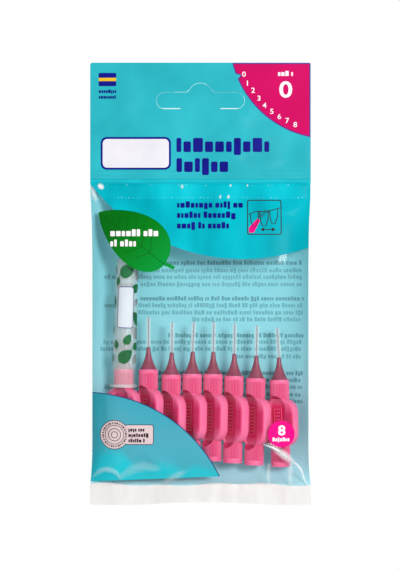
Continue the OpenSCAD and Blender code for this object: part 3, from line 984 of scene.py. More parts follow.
# %% One handle
def handle_shape():
    """One handle, upright on the origin."""
    bm = bmesh.new()
    box(bm, (PADDLE_W, PADDLE_T, PADDLE_H))
    corners = [e for e in bm.edges if abs(e.verts[0].co.y - e.verts[1].co.y) > 0.5 * PADDLE_T]
    round_edges(bm, corners, PADDLE_CORNER_R, 14)
    rims = [e for e in bm.edges if abs(e.verts[0].co.y - e.verts[1].co.y) < 0.01 * PADDLE_T]
    round_edges(bm, rims, PADDLE_EDGE_R, 6)
    bmesh.ops.translate(bm, verts=bm.verts, vec=(0, 0, PADDLE_Z))

    ribs_r = ROD_R - RIB_SETBACK
    groove_r, groove_z = ROD_R - GROOVE_DEPTH, END_RING_H + GROOVE_H
    ring_top = 2 * END_RING_H + GROOVE_H
    tail = turned([
        (0, 0), (ROD_R - END_BEVEL, 0), (ROD_R - 0.3 * END_BEVEL, 0.3 * END_BEVEL), (ROD_R, END_BEVEL),
        (ROD_R, END_RING_H - GROOVE_SLOPE_H), (groove_r, END_RING_H), (groove_r, groove_z),
        (ROD_R, groove_z + GROOVE_SLOPE_H), (ROD_R, ring_top), (ribs_r, ring_top + RIB_SLOPE_H),
        (ribs_r, TAIL_H), (ROD_R - ROD_LAP, TAIL_H + ROD_LAP), (0, TAIL_H + ROD_LAP)])
    ribbed(tail, ring_top + RIB_SLOPE_H / 2, TAIL_H)
    bm = combine(bm, tail, "UNION")

    rim_z = HANDLE_H - COLLAR_RIM_H
    collar = turned([
        (0, COLLAR_Z - ROD_LAP), (ROD_R - ROD_LAP, COLLAR_Z - ROD_LAP), (ribs_r, COLLAR_Z),
        (ribs_r, rim_z - RIB_SLOPE_H), (ROD_R, rim_z), (ROD_R, HANDLE_H - END_BEVEL),
        (ROD_R - 0.3 * END_BEVEL, HANDLE_H - 0.3 * END_BEVEL), (ROD_R - END_BEVEL, HANDLE_H),
        (0, HANDLE_H)])
    ribbed(collar, COLLAR_Z, rim_z - RIB_SLOPE_H / 2)
    bm = combine(bm, collar, "UNION")

    for side in (1, -1):
        cutter = pocket_cutter()
        if side < 0:
            bmesh.ops.rotate(cutter, verts=cutter.verts, matrix=Matrix.Rotation(math.pi, 3, "Z"))
        bmesh.ops.translate(cutter, verts=cutter.verts, vec=(0, 0, PADDLE_Z - POCKET_DROP))
        bm = combine(bm, cutter, "DIFFERENCE")
    bars = [(0, (k - (GRIP_COUNT - 1) / 2) * GRIP_PITCH, GRIP_W, GRIP_H) for k in range(GRIP_COUNT)]
    bars += [(side * GRIP_SIDE_X, 0, GRIP_SIDE_W, GRIP_COUNT * GRIP_PITCH) for side in (1, -1)]
    for side in (1, -1):
        for x, z, width, height in bars:
            bar = bmesh.new()
            box(bar, (width, 2 * GRIP_OUT, height), (x, side * WEB_T / 2, PADDLE_Z + z))
            bm = combine(bm, bar, "UNION")
    bmesh.ops.remove_doubles(bm, verts=bm.verts[:], dist=0.002 * MM)

    drawn_at = bm.verts.layers.float_vector.new("drawn_at")
    for vert in bm.verts:
        vert[drawn_at] = vert.co - Vector((0, 0, PADDLE_Z))
    return bm


print(f"paddle {PADDLE_W / MM:.2f} x {PADDLE_T / MM:.2f} x {PADDLE_H / MM:.2f} mm, {RIB_COUNT} ribs")

# %% [markdown]
# ## The handle's material
#
# The handle's light and shade are partly painted: a lit pink shader and a darker shaded magenta one
# are mixed by where a point lies on the handle. The pocket, the flat faces and the rib grooves get
# painted shade, and the grip bars and the rounded edges stay light. An attribute keeps that place as
# it was drawn, before the handle was leaned.

# %% Handle material
# Injection-moulded polypropylene, dyed through: satin, with a faint flow cloud and a fine mould
# grain. Painted shade: the darker magenta shader lies in the pocket and on the flat faces, a darker
# pink in the rib grooves, and the grip bars' tops keep less of it
handle_material, tree, surface = new_material("pink_polypropylene")
place = add(tree, "TexCoord", out="Object")
flow = add(tree, "TexNoise", add(tree, "Mapping", place, named={"Scale": (1, 1, 0.35)}),
           named={"Scale": 240, "Detail": 3})
skin = grained(tree, place, 0.35 * MM, 0.2, 0.03 * MM)

drawn = add(tree, "Attribute", attribute_name="drawn_at", out="Vector")
drawn = add(tree, "SeparateXYZ", drawn).node.outputs
up = add(tree, "Math", drawn["Z"], operation="ABSOLUTE")
out = add(tree, "Math", drawn["Y"], operation="ABSOLUTE")
# Painted shade in the pocket: full on its floor, fading at its rim and its ends, less on the grip bars
beyond = add(tree, "Math", up, (PADDLE_H + 2 * SCOOP_H - POCKET_W) / 2, operation="SUBTRACT")
beyond = add(tree, "Math", beyond, 0, operation="MAXIMUM")
from_middle = add(tree, "CombineXYZ", drawn["X"], beyond, 0)
from_middle = add(tree, "VectorMath", from_middle, operation="LENGTH", out="Value")
deep = add(tree, "MapRange", from_middle, POCKET_W / 2, POCKET_W / 2 - 1.3 * MM)
below = add(tree, "MapRange", out, PADDLE_T / 2, WEB_T / 2)
off_end = add(tree, "MapRange", up, PADDLE_H / 2 - 0.4 * MM, PADDLE_H / 2 - 3.4 * MM)
off_bar = add(tree, "Math", out, WEB_T / 2 + GRIP_OUT, 0.05 * MM, operation="COMPARE")
off_bar = add(tree, "MapRange", off_bar, named={"To Min": 1, "To Max": 0.35})
for share in (below, off_end, off_bar):
    deep = add(tree, "Math", deep, share, operation="MULTIPLY")
# Painted shade in the rib grooves of the tail and the collar
radius = add(tree, "CombineXYZ", drawn["X"], drawn["Y"], 0)
radius = add(tree, "VectorMath", radius, operation="LENGTH", out="Value")
groove_shade = add(tree, "MapRange", radius, ROD_R - RIB_SETBACK, ROD_R - RIB_DEPTH)
on_rod = add(tree, "Math", up, PADDLE_H / 2 + 2.8 * MM, 2.8 * MM, operation="COMPARE")
groove_shade = add(tree, "Math", groove_shade, on_rod, operation="MULTIPLY")
# Painted shade on the flat faces, fading towards the paddle's round corners
face = add(tree, "MapRange", out, PADDLE_T / 2 - 0.75 * MM, PADDLE_T / 2 - 0.1 * MM)
off_corner = add(tree, "MapRange", up, PADDLE_H / 2 - 0.6 * MM, PADDLE_H / 2 - 5.5 * MM,
                 named={"To Max": 0.85})
face = add(tree, "Math", face, off_corner, operation="MULTIPLY")
deep = add(tree, "Math", deep, face, operation="MAXIMUM")

# The lit pink with its painted groove shade, and the painted shade's magenta, brighter on the pocket floor
pink = add(tree, "ValToRGB", flow, stops=[(0.25, "#ff6296"), (0.75, "#ff78a6")])
pink = add(tree, "Mix", data_type="RGBA", named={0: groove_shade, 6: pink, 7: linear("#d82265")}, out=2)
shade_magenta = add(tree, "ValToRGB", flow, stops=[(0.25, "#d40056"), (0.75, "#e0045f")])
shade_magenta = add(tree, "Mix", data_type="RGBA", named={0: below, 6: shade_magenta, 7: linear("#ff0870")}, out=2)
lit = add(tree, "BsdfPrincipled", pink,
          named={"Roughness": 0.5, "IOR": 1.49, "Specular IOR Level": 0.5, "Subsurface Weight": 0.25,
                 "Subsurface Radius": (1, 0.2, 0.4), "Subsurface Scale": 1 * MM, "Normal": skin})
shaded = add(tree, "BsdfPrincipled", shade_magenta,
             named={"Roughness": 0.6, "IOR": 1.49, "Specular IOR Level": 0.02, "Subsurface Weight": 0.4,
                    "Subsurface Radius": (1, 0.1, 0.4), "Subsurface Scale": 1.5 * MM, "Normal": skin})
tree.links.new(add(tree, "MixShader", deep, lit, shaded), surface)
print("handle material nodes:", len(tree.nodes))

# %% [markdown]
# ## The eight handles
#
# All handles come out of one mould, so one model is built and copied. Each rides on its own body,
# so each copy is a mesh of its own, with its place in its points.

# %% The eight handles
handle_model = handle_shape()
for i in BRUSHES:
    bm = handle_model.copy()
    bmesh.ops.transform(bm, matrix=brush_place(i), verts=bm.verts)
    finish(bm, f"handle_{i + 1}_moulding", handle_material, f"brush_{i + 1}", [f"handle_{i + 1}"],
           crease=32)
print("handle faces:", len(handle_model.faces))
handle_model.free()

# %% [markdown]
# ## Necks, wires and bristles
#
# The neck is a soft flared sleeve: its outline is turned about the axis. The core is two steel wires
# twisted together, so each is a small circle that spin sweeps round and up at the same time. The
# bristles are nylon hairs held in the twist. There are hundreds, so each is a three-sided sliver
# across the wire, turned on from the one below with a little seeded unevenness.

# %% Neck, wire and bristle shapes
NECK_H = 7.9 * MM
NECK_BASE_R = 3.05 * MM
NECK_TIP_R = 0.75 * MM
NECK_FLARE = 1.9
NECK_TIP_Z = HANDLE_H + NECK_H
NECK_SUNK = 0.3 * MM
WIRE_D = 0.46 * MM
WIRE_TWIST = 0.95 * MM
WIRE_SIDES, WIRE_STEPS_A_TURN = 7, 14
BRISTLE_D = 1.9 * MM
BRISTLE_Z = NECK_TIP_Z + 0.2 * MM
BRISTLE_H = 10.6 * MM
WIRE_TOP_Z = BRISTLE_Z + BRISTLE_H + 0.2 * MM
HAIR_COUNT = 300
HAIR_W = 0.075 * MM
HAIR_TURN = math.radians(137.5)
TILT_PLAY, TURN_PLAY = 0.22, 0.2


def neck_shape():
    """The flared sleeve, sunk a little into the collar."""
    steps = 18
    wall = [(NECK_TIP_R + (NECK_BASE_R - NECK_TIP_R) * (1 - k / steps) ** NECK_FLARE,
             HANDLE_H + NECK_H * k / steps) for k in range(steps)]
    tip = [(NECK_TIP_R, NECK_TIP_Z - 0.15 * MM), (NECK_TIP_R - 0.12 * MM, NECK_TIP_Z), (0, NECK_TIP_Z)]
    foot = [(0, HANDLE_H - NECK_SUNK), (NECK_BASE_R, HANDLE_H - NECK_SUNK)]
    return turned(foot + wall + tip, steps=48)


def wire_shape():
    """Two wires twisted round each other."""
    bm = bmesh.new()
    length = WIRE_TOP_Z - HANDLE_H
    turns = length / WIRE_TWIST
    steps = WIRE_STEPS_A_TURN * round(turns)
    for start in (0, math.pi):
        made = bmesh.ops.create_circle(bm, segments=WIRE_SIDES, radius=WIRE_D / 4)
        verts = made["verts"]
        bmesh.ops.rotate(bm, verts=verts, matrix=Matrix.Rotation(math.pi / 2, 3, "X"))
        bmesh.ops.translate(bm, verts=verts, vec=(WIRE_D / 4, 0, HANDLE_H))
        bmesh.ops.rotate(bm, verts=verts, matrix=Matrix.Rotation(start, 3, "Z"))
        edges = list({e for v in verts for e in v.link_edges})
        bmesh.ops.contextual_create(bm, geom=edges)
        swept = bmesh.ops.spin(bm, geom=edges, cent=(0, 0, 0), axis=(0, 0, 1), angle=turns * math.tau,
                               dvec=(0, 0, length / steps), steps=steps)
        top = [e for e in swept["geom_last"] if isinstance(e, bmesh.types.BMEdge)]
        bmesh.ops.contextual_create(bm, geom=top)
    bmesh.ops.recalc_face_normals(bm, faces=bm.faces[:])
    return bm


def bristle_shape(rng):
    """The hairs, from the lowest to the highest."""
    bm = bmesh.new()
    for k in range(HAIR_COUNT):
        length = BRISTLE_D * rng.uniform(0.9, 1.0)
        made = bmesh.ops.create_cone(bm, cap_ends=True, segments=3, radius1=HAIR_W / 2,
                                     radius2=HAIR_W / 2, depth=length)
        verts = made["verts"]
        tilt = Matrix.Rotation(math.pi / 2 + rng.uniform(-TILT_PLAY, TILT_PLAY), 3, "X")
        turn = Matrix.Rotation(HAIR_TURN * k + rng.uniform(-TURN_PLAY, TURN_PLAY), 3, "Z")
        bmesh.ops.rotate(bm, verts=verts, matrix=turn @ tilt)
        z = BRISTLE_Z + BRISTLE_H * (k + 0.5) / HAIR_COUNT
        bmesh.ops.translate(bm, verts=verts, vec=(0, 0, z))
    return bm


print(f"neck {NECK_H / MM:.1f} mm, bristles {BRISTLE_H / MM:.1f} mm, {HAIR_COUNT} hairs")

# %% [markdown]
# ## Elastomer, coated wire and nylon
#
# The three materials differ in how they take the light. The neck is a deep rose with a soft sheen,
# the wire keeps a little of the metal's shine under its tint, and the hairs are smooth and whitish.

# %% Neck, wire and bristle materials
# Soft moulded elastomer over the wire's foot: a deep rose with a soft sheen and a fine grain
neck_material, tree, surface = new_material("soft_pink_elastomer")
place = add(tree, "TexCoord", out="Object")
cloud = add(tree, "TexNoise", place, named={"Scale": 300, "Detail": 3})
rose = add(tree, "ValToRGB", cloud, stops=[(0.3, "#8a2a45"), (0.7, "#9d3e58")])
skin = grained(tree, place, 0.25 * MM, 0.2, 0.02 * MM)
tree.links.new(add(tree, "BsdfPrincipled", rose,
                   named={"Roughness": 0.36, "Specular IOR Level": 0.5, "Normal": skin}), surface)

# Twisted stainless steel wire with a tinted coat
wire_material, tree, surface = new_material("coated_steel_wire")
place = add(tree, "TexCoord", out="Object")
wear = add(tree, "TexNoise", place, named={"Scale": 1 / (0.5 * MM), "Detail": 2})
steel = add(tree, "ValToRGB", wear, stops=[(0.3, "#7c3f5c"), (0.7, "#9a5a78")])
tree.links.new(add(tree, "BsdfPrincipled", steel, named={"Metallic": 0.25, "Roughness": 0.35}), surface)

# Nylon filament: smooth and whitish
bristle_material, tree, surface = new_material("nylon_filament")
place = add(tree, "TexCoord", out="Object")
shade = add(tree, "TexNoise", place, named={"Scale": 1 / (0.6 * MM), "Detail": 2})
white = add(tree, "ValToRGB", shade, stops=[(0.2, "#dfeaf0"), (0.8, "#ffffff")])
nylon = add(tree, "BsdfPrincipled", white, named={"Roughness": 0.3, "IOR": 1.53})
tree.links.new(nylon, surface)
print("materials:", neck_material.name, wire_material.name, bristle_material.name)

# %% [markdown]
# ## Eight necks, wires and bristle heads
#
# Two wires stand a little bent in the photograph, so what stands above their necks leans on. The
# hairs of every head are drawn anew, in the order of the brushes.

# %% Make the necks, wires and bristle heads
# Degrees by the brush's place in the row
WIRE_BENDS = {3: 1.4, 7: -2.4}
BEND_RAMP_H = 4 * MM


def bend_tip(bm, degrees):
    """Leans what stands above the neck, as a wire does that was bent a little in the pack."""
    for vert in bm.verts:
        above = vert.co.z - NECK_TIP_Z
        if above > 0:
            share = min(1, above / BEND_RAMP_H)
            vert.co.x += math.tan(math.radians(degrees)) * above * share
    return bm


rng = random.Random(8)
for i in BRUSHES:
    lean_only = brush_place(i) @ Matrix.Rotation(math.radians(ROLL_ANGLES[i]), 4, "Z")
    for kind, bm, material, slot in (
            ("neck", neck_shape(), neck_material, "neck_plastic"),
            ("wire", wire_shape(), wire_material, "core_wire"),
            ("bristles", bristle_shape(rng), bristle_material, "bristle_nylon")):
        bend_tip(bm, WIRE_BENDS.get(i, 0))
        bmesh.ops.transform(bm, matrix=lean_only, verts=bm.verts)
        finish(bm, f"{kind}_{i + 1}_finished", material, f"brush_{i + 1}", [f"{kind}_{i + 1}"])
print("necks, wires and bristle heads:", 3 * len(BRUSHES))

# %% [markdown]
# ## The travel cap
#
# The cap is blown thin from natural polypropylene, so it is milky: the pink collar shows inside it.
# The wall's section is turned about the axis as one closed outline, and its shader lets most of the
# light straight through and scatters the rest.

# %% Cap
CAP_H = 47 * MM
CAP_WALL = 0.78 * MM
CAP_END_R = 4 * MM
CAP_BORE_R = ROD_R + 0.08 * MM
CAP_MOUTH_R = CAP_BORE_R + CAP_WALL
CAP_RIM_H = 1.1 * MM
CAP_RIM_W = 0.58 * MM
CAP_Z = COLLAR_Z + 0.3 * MM
CAP_END_ROUND = 1.2 * MM
CAP_END_WALL = 1 * MM
CAP_INNER_END_R = CAP_END_R - CAP_WALL * 0.83
CAP_INNER_ROUND = 0.5 * MM
CAP_STOP_Z, CAP_STOP_W = 6.9 * MM, 0.18 * MM
CAP_LEAD_IN = 0.15 * MM


def cap_radius(z):
    """The cap's outer radius at a height in the brush's frame."""
    share = min(1, max(0, (z - CAP_Z - CAP_RIM_H) / (CAP_H - CAP_RIM_H - CAP_END_ROUND)))
    return CAP_MOUTH_R + (CAP_END_R - CAP_MOUTH_R) * share


rim_r = CAP_MOUTH_R + CAP_RIM_W
inner_z = CAP_H - CAP_END_WALL
inside = [
    (0, inner_z), (CAP_INNER_END_R - CAP_INNER_ROUND, inner_z),
    (CAP_INNER_END_R, inner_z - CAP_INNER_ROUND), (CAP_BORE_R - CAP_STOP_W, CAP_STOP_Z),
    (CAP_BORE_R, CAP_STOP_Z), (CAP_BORE_R, CAP_LEAD_IN), (CAP_BORE_R + CAP_LEAD_IN, 0)]
rim = [
    (rim_r - 0.2 * MM, 0), (rim_r, 0.2 * MM), (rim_r, CAP_RIM_H - 0.3 * MM),
    (rim_r - 0.25 * MM, CAP_RIM_H - 0.05 * MM), (CAP_MOUTH_R + 0.1 * MM, CAP_RIM_H),
    (CAP_MOUTH_R, CAP_RIM_H + 0.2 * MM)]
rounded_end = arc((CAP_END_R - CAP_END_ROUND, CAP_H - CAP_END_ROUND), CAP_END_ROUND, 0, 90, 6)
cap_profile = inside + rim + rounded_end + [(0, CAP_H)]

cap_frame = brush_place(0) @ Matrix.Rotation(math.radians(ROLL_ANGLES[0]), 4, "Z")

# Natural polypropylene, blown thin: milky, satin, with faint vertical flow lines. The wall looks
# clearer where the collar fills the bore, and nearly white at the thick rim
cap_material, tree, surface = new_material("milky_polypropylene")
place = add(tree, "TexCoord", out="Object")
flow = add(tree, "TexNoise", add(tree, "Mapping", place, named={"Scale": (1, 1, 0.12)}),
           named={"Scale": 500, "Detail": 3})
milk = add(tree, "ValToRGB", flow, stops=[(0.3, "#f0f0f0"), (0.7, "#ffffff")])
skin = add(tree, "Bump", named={"Height": flow, "Strength": 0.2, "Distance": 0.05 * MM})
wall = add(tree, "BsdfPrincipled", milk, named={"Roughness": 0.33, "IOR": 1.49, "Normal": skin})
through = add(tree, "BsdfTransparent", linear("#ffffff"))
height = add(tree, "SeparateXYZ", place).node.outputs["Z"]
base_z = (cap_frame @ Vector((0, 0, CAP_Z))).z
height = add(tree, "MapRange", height, base_z, base_z + 12 * MM)
milkiness = add(tree, "ValToRGB", height, stops=[
    (0, "#a0a0a0"), (0.085, "#a0a0a0"), (0.1, "#606060"), (0.5, "#606060"), (0.6, "#888888")])
tree.links.new(add(tree, "MixShader", milkiness, through, wall), surface)

bm = turned([(r, CAP_Z + z) for r, z in cap_profile], steps=64)
bmesh.ops.transform(bm, matrix=cap_frame, verts=bm.verts)
finish(bm, "cap_blown", cap_material, "cap", ["cap"])
print(f"cap {CAP_H / MM:.0f} mm long, {2 * rim_r / MM:.1f} mm wide at its rim")

# %% [markdown]
# ## Printing
#
# The inks are laid on as very thin slabs just in front of the film. That keeps every printed edge
# sharp in any view. A slab follows the film because each of its points is
# moved to the film's surface. Marks that were words are rows of plain blocks.

# %% Outlines of printed shapes
INK_T = 0.02 * MM
INK_STEP = 0.05 * MM
INK_CELL, FINE_CELL = 0.9 * MM, 0.7 * MM


def places(points):
    """Points of the photograph as places (x, z)."""
    return [(photo_x(px), photo_z(py)) for px, py in points]


def ribbon(points, width):
    """The outline of a strip of even width along a line of points."""
    left, right = [], []
    for k, here in enumerate(points):
        before, after = points[max(0, k - 1)], points[min(len(points) - 1, k + 1)]
        along = Vector(after) - Vector(before)
        across = Vector((-along.y, along.x)).normalized() * (width / 2)
        left.append(tuple(Vector(here) + across))
        right.append(tuple(Vector(here) - across))
    return left + right[::-1]


def ring(centre, radius, steps=64):
    """A full circle as an outline."""
    return arc(centre, radius, 0, 360, steps)[:-1]


def photo_box(left, top, right, low, radius):
    """A round-cornered rectangle, from its sides and its corner radius in photograph pixels."""
    return round_rect(photo_x(left), photo_z(low), photo_x(right), photo_z(top), radius * PIXEL)


print("a pixel of the photograph is", PIXEL, "m")

# %% [markdown]
# ## Blocks and numbers
#
# A line of words becomes a row of blocks: uneven widths, some tall ones and a few tails, drawn from a
# seeded random row, so that it reads as print at a glance. A number is a text curve that is made a
# mesh at once.

# %% Blocks, rows and numbers
# As shares of a row's height: the blocks' widths, the gaps after a letter and a word, and how far
# small letters end under the row's top and tails reach under its foot
LETTER_W = (0.34, 0.7)
LETTER_GAP, WORD_GAP = 0.16, 0.34
SMALL_DROP, TAIL_DROP = 0.25, 0.22
TALL_SHARE, TAIL_SHARE = 0.32, 0.1


def block(bm, left, low, right, top, radius=0):
    """A small flat block of ink, with round corners where a radius is given."""
    verts = box(bm, (right - left, INK_T, top - low), ((left + right) / 2, INK_T / 2, (low + top) / 2))
    if radius:
        corners = [e for e in {e for v in verts for e in v.link_edges}
                   if abs(e.verts[0].co.y - e.verts[1].co.y) > 0.5 * INK_T]
        corners.sort(key=lambda e: (e.verts[0].co.x, e.verts[0].co.z))
        round_edges(bm, corners, radius, 2)


def text_row(bm, rng, left, top, right, low, radius=0.0, letters=(2, 8)):
    """A row of blocks that stands for a line of words. All in photograph pixels."""
    height = low - top
    px = left
    while px < right - 0.3 * height:
        for _ in range(rng.randint(*letters)):
            width = height * rng.uniform(*LETTER_W)
            if px + width > right:
                break
            upper = top if rng.random() < TALL_SHARE else top + SMALL_DROP * height
            lower = low + TAIL_DROP * height if rng.random() < TAIL_SHARE else low
            block(bm, photo_x(px), photo_z(lower), photo_x(px + width), photo_z(upper), radius * PIXEL)
            px += width + LETTER_GAP * height
        px += WORD_GAP * height


def number(text, px, py, height_px, weight=0.0, width=1.0):
    """The flat outline of a number, centred on a point of the photograph."""
    curve = bpy.data.curves.new("number", "FONT")
    curve.body = text
    curve.offset = weight
    curve.resolution_u = 4
    sign = bpy.data.objects.new("number", curve)
    bpy.context.scene.collection.objects.link(sign)
    bpy.context.view_layer.update()
    bm = bmesh.new()
    bm.from_mesh(sign.evaluated_get(bpy.context.evaluated_depsgraph_get()).to_mesh())
    bpy.data.objects.remove(sign)
    bmesh.ops.remove_doubles(bm, verts=bm.verts[:], dist=0.0005)
    low = Vector(min(v.co[k] for v in bm.verts) for k in range(2))
    high = Vector(max(v.co[k] for v in bm.verts) for k in range(2))
    scale = height_px * PIXEL / (high.y - low.y)
    middle_x, middle_y = (low + high) / 2
    for vert in bm.verts:
        across, up = (vert.co.x - middle_x) * scale * width, (vert.co.y - middle_y) * scale
        vert.co = (photo_x(px) + across, 0, photo_z(py) + up)
    thicken(bm, INK_T)
    return bm


# %% [markdown]
# ## Laying ink on a surface
#
# Slabs that lie in one another would flicker. So each layer stands a step in front of the one under
# it, and a slab is cut along a net before it is laid, so that it can follow the surface.

# %% Lay ink
def merged(parts):
    """Several bmeshes as one. Frees the others."""
    whole = parts[0]
    for part in parts[1:]:
        mesh = bpy.data.meshes.new("part")
        part.to_mesh(mesh)
        part.free()
        whole.from_mesh(mesh)
        bpy.data.meshes.remove(mesh)
    return whole


def lay_ink(name, bm, material, body, surface, layer=1):
    """Lays a flat slab of ink on a surface, a step in front of it for each layer under it."""
    drape(bm, lambda x, z: surface(x, z, layer * INK_STEP))
    return finish(bm, name, material, body)


def ink_area(outlines, cell=INK_CELL):
    """A flat slab of ink: the first outline, less the others."""
    return net(outlines, cell, INK_T)


def lay_words(name, rng, rows, ink, body, surface, layer, radius=0.0):
    """Lays rows of blocks. Each row is its left, top, right and low side in photograph pixels."""
    bm = bmesh.new()
    for row in rows:
        text_row(bm, rng, *row, radius)
    return lay_ink(name, bm, ink, body, surface, layer)


print(f"ink {INK_T / MM:.2f} mm thick, layers {INK_STEP / MM:.2f} mm apart")

# %% [markdown]
# ## The inks
#
# Each ink is named for its colour in print. It gets two near shades, and some get the size of their
# clouds in millimetres.

# %% Inks
pink_ink = cloudy_ink("pink_printing_ink", "#c20058", "#ce0361")
navy_ink = cloudy_ink("navy_printing_ink", "#0a0c74", "#12158a", 6)
rim_ink = cloudy_ink("plum_printing_ink", "#5a2a86", "#6b3492", 6)
white_ink = cloudy_ink("white_printing_ink", "#f4e9f1", "#fff6fb", 6)
label_ink = cloudy_ink("label_white_ink", "#dedbe4", "#e9e6ec", 8)
yellow_ink = cloudy_ink("yellow_printing_ink", "#e0b010", "#ecc02a", 6)
rose_ink = cloudy_ink("pale_rose_ink", "#d6bec1", "#dfcacc", 6)
dark_ink = cloudy_ink("dark_printing_ink", "#2a1c26", "#37262f", 6)
badge_ink = cloudy_ink("magenta_printing_ink", "#ee007c", "#f40885", 8)
print("materials so far:", len(bpy.data.materials))

# %% [markdown]
# ## The header's prints
#
# A dial of size numbers sits in a pink corner, cut from a large circle with a small notch as its
# pointer. Plain labels and rows of blocks take the other places.

# %% Pink corner with its dial
DIAL_CENTRE, DIAL_R = (46.86 * MM, 20.44 * MM), 36.35 * MM
DIAL_RIM_W = 0.4 * MM
EDGE_ROOM = 0.12 * MM
NOTCH = [(235.2, 73.8), (240.9, 75.2), (237.0, 79.0)]
DIAL_NUMBERS = [
    ("0", 243.9, 74.2), ("1", 247.4, 83.2), ("2", 253, 90.3), ("3", 258.9, 98.2), ("4", 264.5, 105.3),
    ("5", 271.8, 111.4), ("6", 279.3, 116.5), ("7", 287.3, 120.6), ("8", 295.2, 124.6)]


def dial_outline(inset):
    """The pink corner: the header's top right corner inside the dial's circle, less the notch."""
    right, top = PACK_W / 2 - EDGE_ROOM - inset, HEADER_TOP_Z - EDGE_ROOM - inset
    radius = DIAL_R - inset
    start = 180 + math.degrees(math.asin((DIAL_CENTRE[1] - top) / radius))
    end = 270 - math.degrees(math.asin((DIAL_CENTRE[0] - right) / radius))
    sweep = [start + (end - start) * k / 60 for k in range(61)]
    points = [arc(DIAL_CENTRE, radius, a, a, 1)[0] for a in sweep]
    upper = [p for p in points if p[1] > photo_z(NOTCH[0][1])]
    lower = [p for p in points if p[1] < photo_z(NOTCH[2][1])]
    tip = (photo_x(NOTCH[1][0]) + inset, photo_z(NOTCH[1][1]))
    on_rim = [arc(DIAL_CENTRE, radius, a, a, 1)[0] for a in (
        180 + math.degrees(math.asin((DIAL_CENTRE[1] - photo_z(NOTCH[0][1]) - inset) / radius)),
        180 + math.degrees(math.asin((DIAL_CENTRE[1] - photo_z(NOTCH[2][1]) + inset) / radius)))]
    return upper + [on_rim[0], tip, on_rim[1]] + lower + [(right, top)]


lay_ink("dial_rim", ink_area([dial_outline(0)]), rim_ink, "header", header_y, 1)
lay_ink("dial_field", ink_area([dial_outline(DIAL_RIM_W)]), pink_ink, "header", header_y, 2)
numbers = [number(text, px, py, 5.2, 0.012, 1.12) for text, px, py in DIAL_NUMBERS]
numbers.append(number("0", 285.7, 89.5, 16.7, 0.02, 1.2))
lay_ink("dial_numbers", merged(numbers), white_ink, "header", header_y, 3)

rng = random.Random(21)
lay_words("dial_word_blocks", rng, [(278, 71, 293, 76)], white_ink, "header", header_y, 3)
print("numbers on the dial:", len(DIAL_NUMBERS))

# %% [markdown]
# ## Labels and rows of blocks on the header
#
# A label is two slabs, the smaller one a layer nearer. A row of blocks takes the place and the height
# of a line of words. These rows are cut along the net, so that the large blocks follow the dents.

# %% Labels and rows of blocks on the header
# Each label: its left, top, right and low side and its corner radius in photograph pixels, its ink
# and its layer
HEADER_LABELS = {
    "header_label_rim": ((100.7, 137, 170.9, 169.7, 6), navy_ink, 1),
    "header_label": ((102.7, 139, 168.9, 167.7, 4.4), label_ink, 2),
    "mark_block": ((98.7, 73, 116.2, 86.2, 1), navy_ink, 1),
    "mark_band": ((98.7, 77.9, 116.2, 81.2, 0.2), yellow_ink, 2),
}
for name, (sides, ink, layer) in HEADER_LABELS.items():
    lay_ink(name, ink_area([photo_box(*sides)]), ink, "header", header_y, layer)

bm = bmesh.new()
for left, top, right, low, radius, letters in (
        (98.9, 89.6, 116.4, 93, 0, (2, 8)), (98.9, 95.3, 116.8, 98.7, 0, (2, 8)),
        (176.5, 138, 276.9, 152, 1.3, (12, 12)), (176.5, 158.2, 229.9, 172, 1.3, (7, 7))):
    text_row(bm, rng, left, top, right, low, radius, letters)
cut_net(bm, 2 * NET_CELL)
lay_ink("header_word_blocks", bm, navy_ink, "header", header_y, 2)
print("labels:", len(HEADER_LABELS))

# %% [markdown]
# ## Cut edges and the weld mark
#
# The die leaves a lifted lip of film along parts of the hang hole. Its pale ink is partly the film's
# whitish cut edge and partly a painted highlight, laid where the lip catches the light. The welding
# bar leaves a faint sunken frame above the fold.

# %% Lips of the hang hole and the weld mark
lip_and_highlight_ink = cloudy_ink("cut_film_lip_and_highlight", "#8ddbe1", "#bdeef1", 5, 0.2, 0.5)
mark_material = cloudy_ink("pressed_film", "#1fa5b2", "#2bb6c2", 9)
LIP_W = 0.17 * MM
lip_lines = [
    arc((SLOT_END_X, SLOT_MID_Z), SLOT_H / 2, 30, -82, 18) + [(11.2 * MM, SLOT_LOW_Z)],
    arc((-SLOT_END_X, SLOT_MID_Z), SLOT_H / 2, 200, 268, 12) + [(-7.4 * MM, SLOT_LOW_Z)],
    [(-9.6 * MM, SLOT_TOP_Z), (-5.2 * MM, SLOT_TOP_Z)] + arc((0, 0), ARCH_R, 158, 56, 20),
]
lips = merged([ink_area([ribbon(line, LIP_W)], NET_CELL) for line in lip_lines])
lay_ink("hang_hole_lips", lips, lip_and_highlight_ink, "header", header_y, 1)

mark_outer = photo_box(92, 170.6, 305.5, 176.4, 2.6)
mark_inner = photo_box(92.8, 171.4, 304.7, 175.6, 1.9)
lay_ink("weld_mark", ink_area([mark_outer, mark_inner], NET_CELL), mark_material, "header", header_y, 1)
print("lips:", len(lip_lines))

# %% [markdown]
# ## The film's prints
#
# A plain leaf with a midrib, rows of blocks, a small how-to picture and two badges are printed on
# the front film. They ride on the pouch.

# %% Leaf on the film
leaf_material, tree, surface = new_material("green_printing_ink")
place = add(tree, "TexCoord", out="Object")
split = add(tree, "SeparateXYZ", place).node.outputs
slope = add(tree, "Math", split["X"], split["Z"], operation="SUBTRACT")
share = add(tree, "MapRange", slope, photo_x(99) - photo_z(240), photo_x(165) - photo_z(262))
green = add(tree, "ValToRGB", share, stops=[(0, "#006a10"), (0.45, "#007a16"), (1, "#009034")])
skin = grained(tree, place, 0.8 * MM, 0.15, 0.03 * MM)
tree.links.new(add(tree, "BsdfPrincipled", green,
                   named={"Roughness": 0.36, "Specular IOR Level": 0.06, "Normal": skin}), surface)
vein_ink = cloudy_ink("dark_green_ink", "#005a10", "#006616", 6)

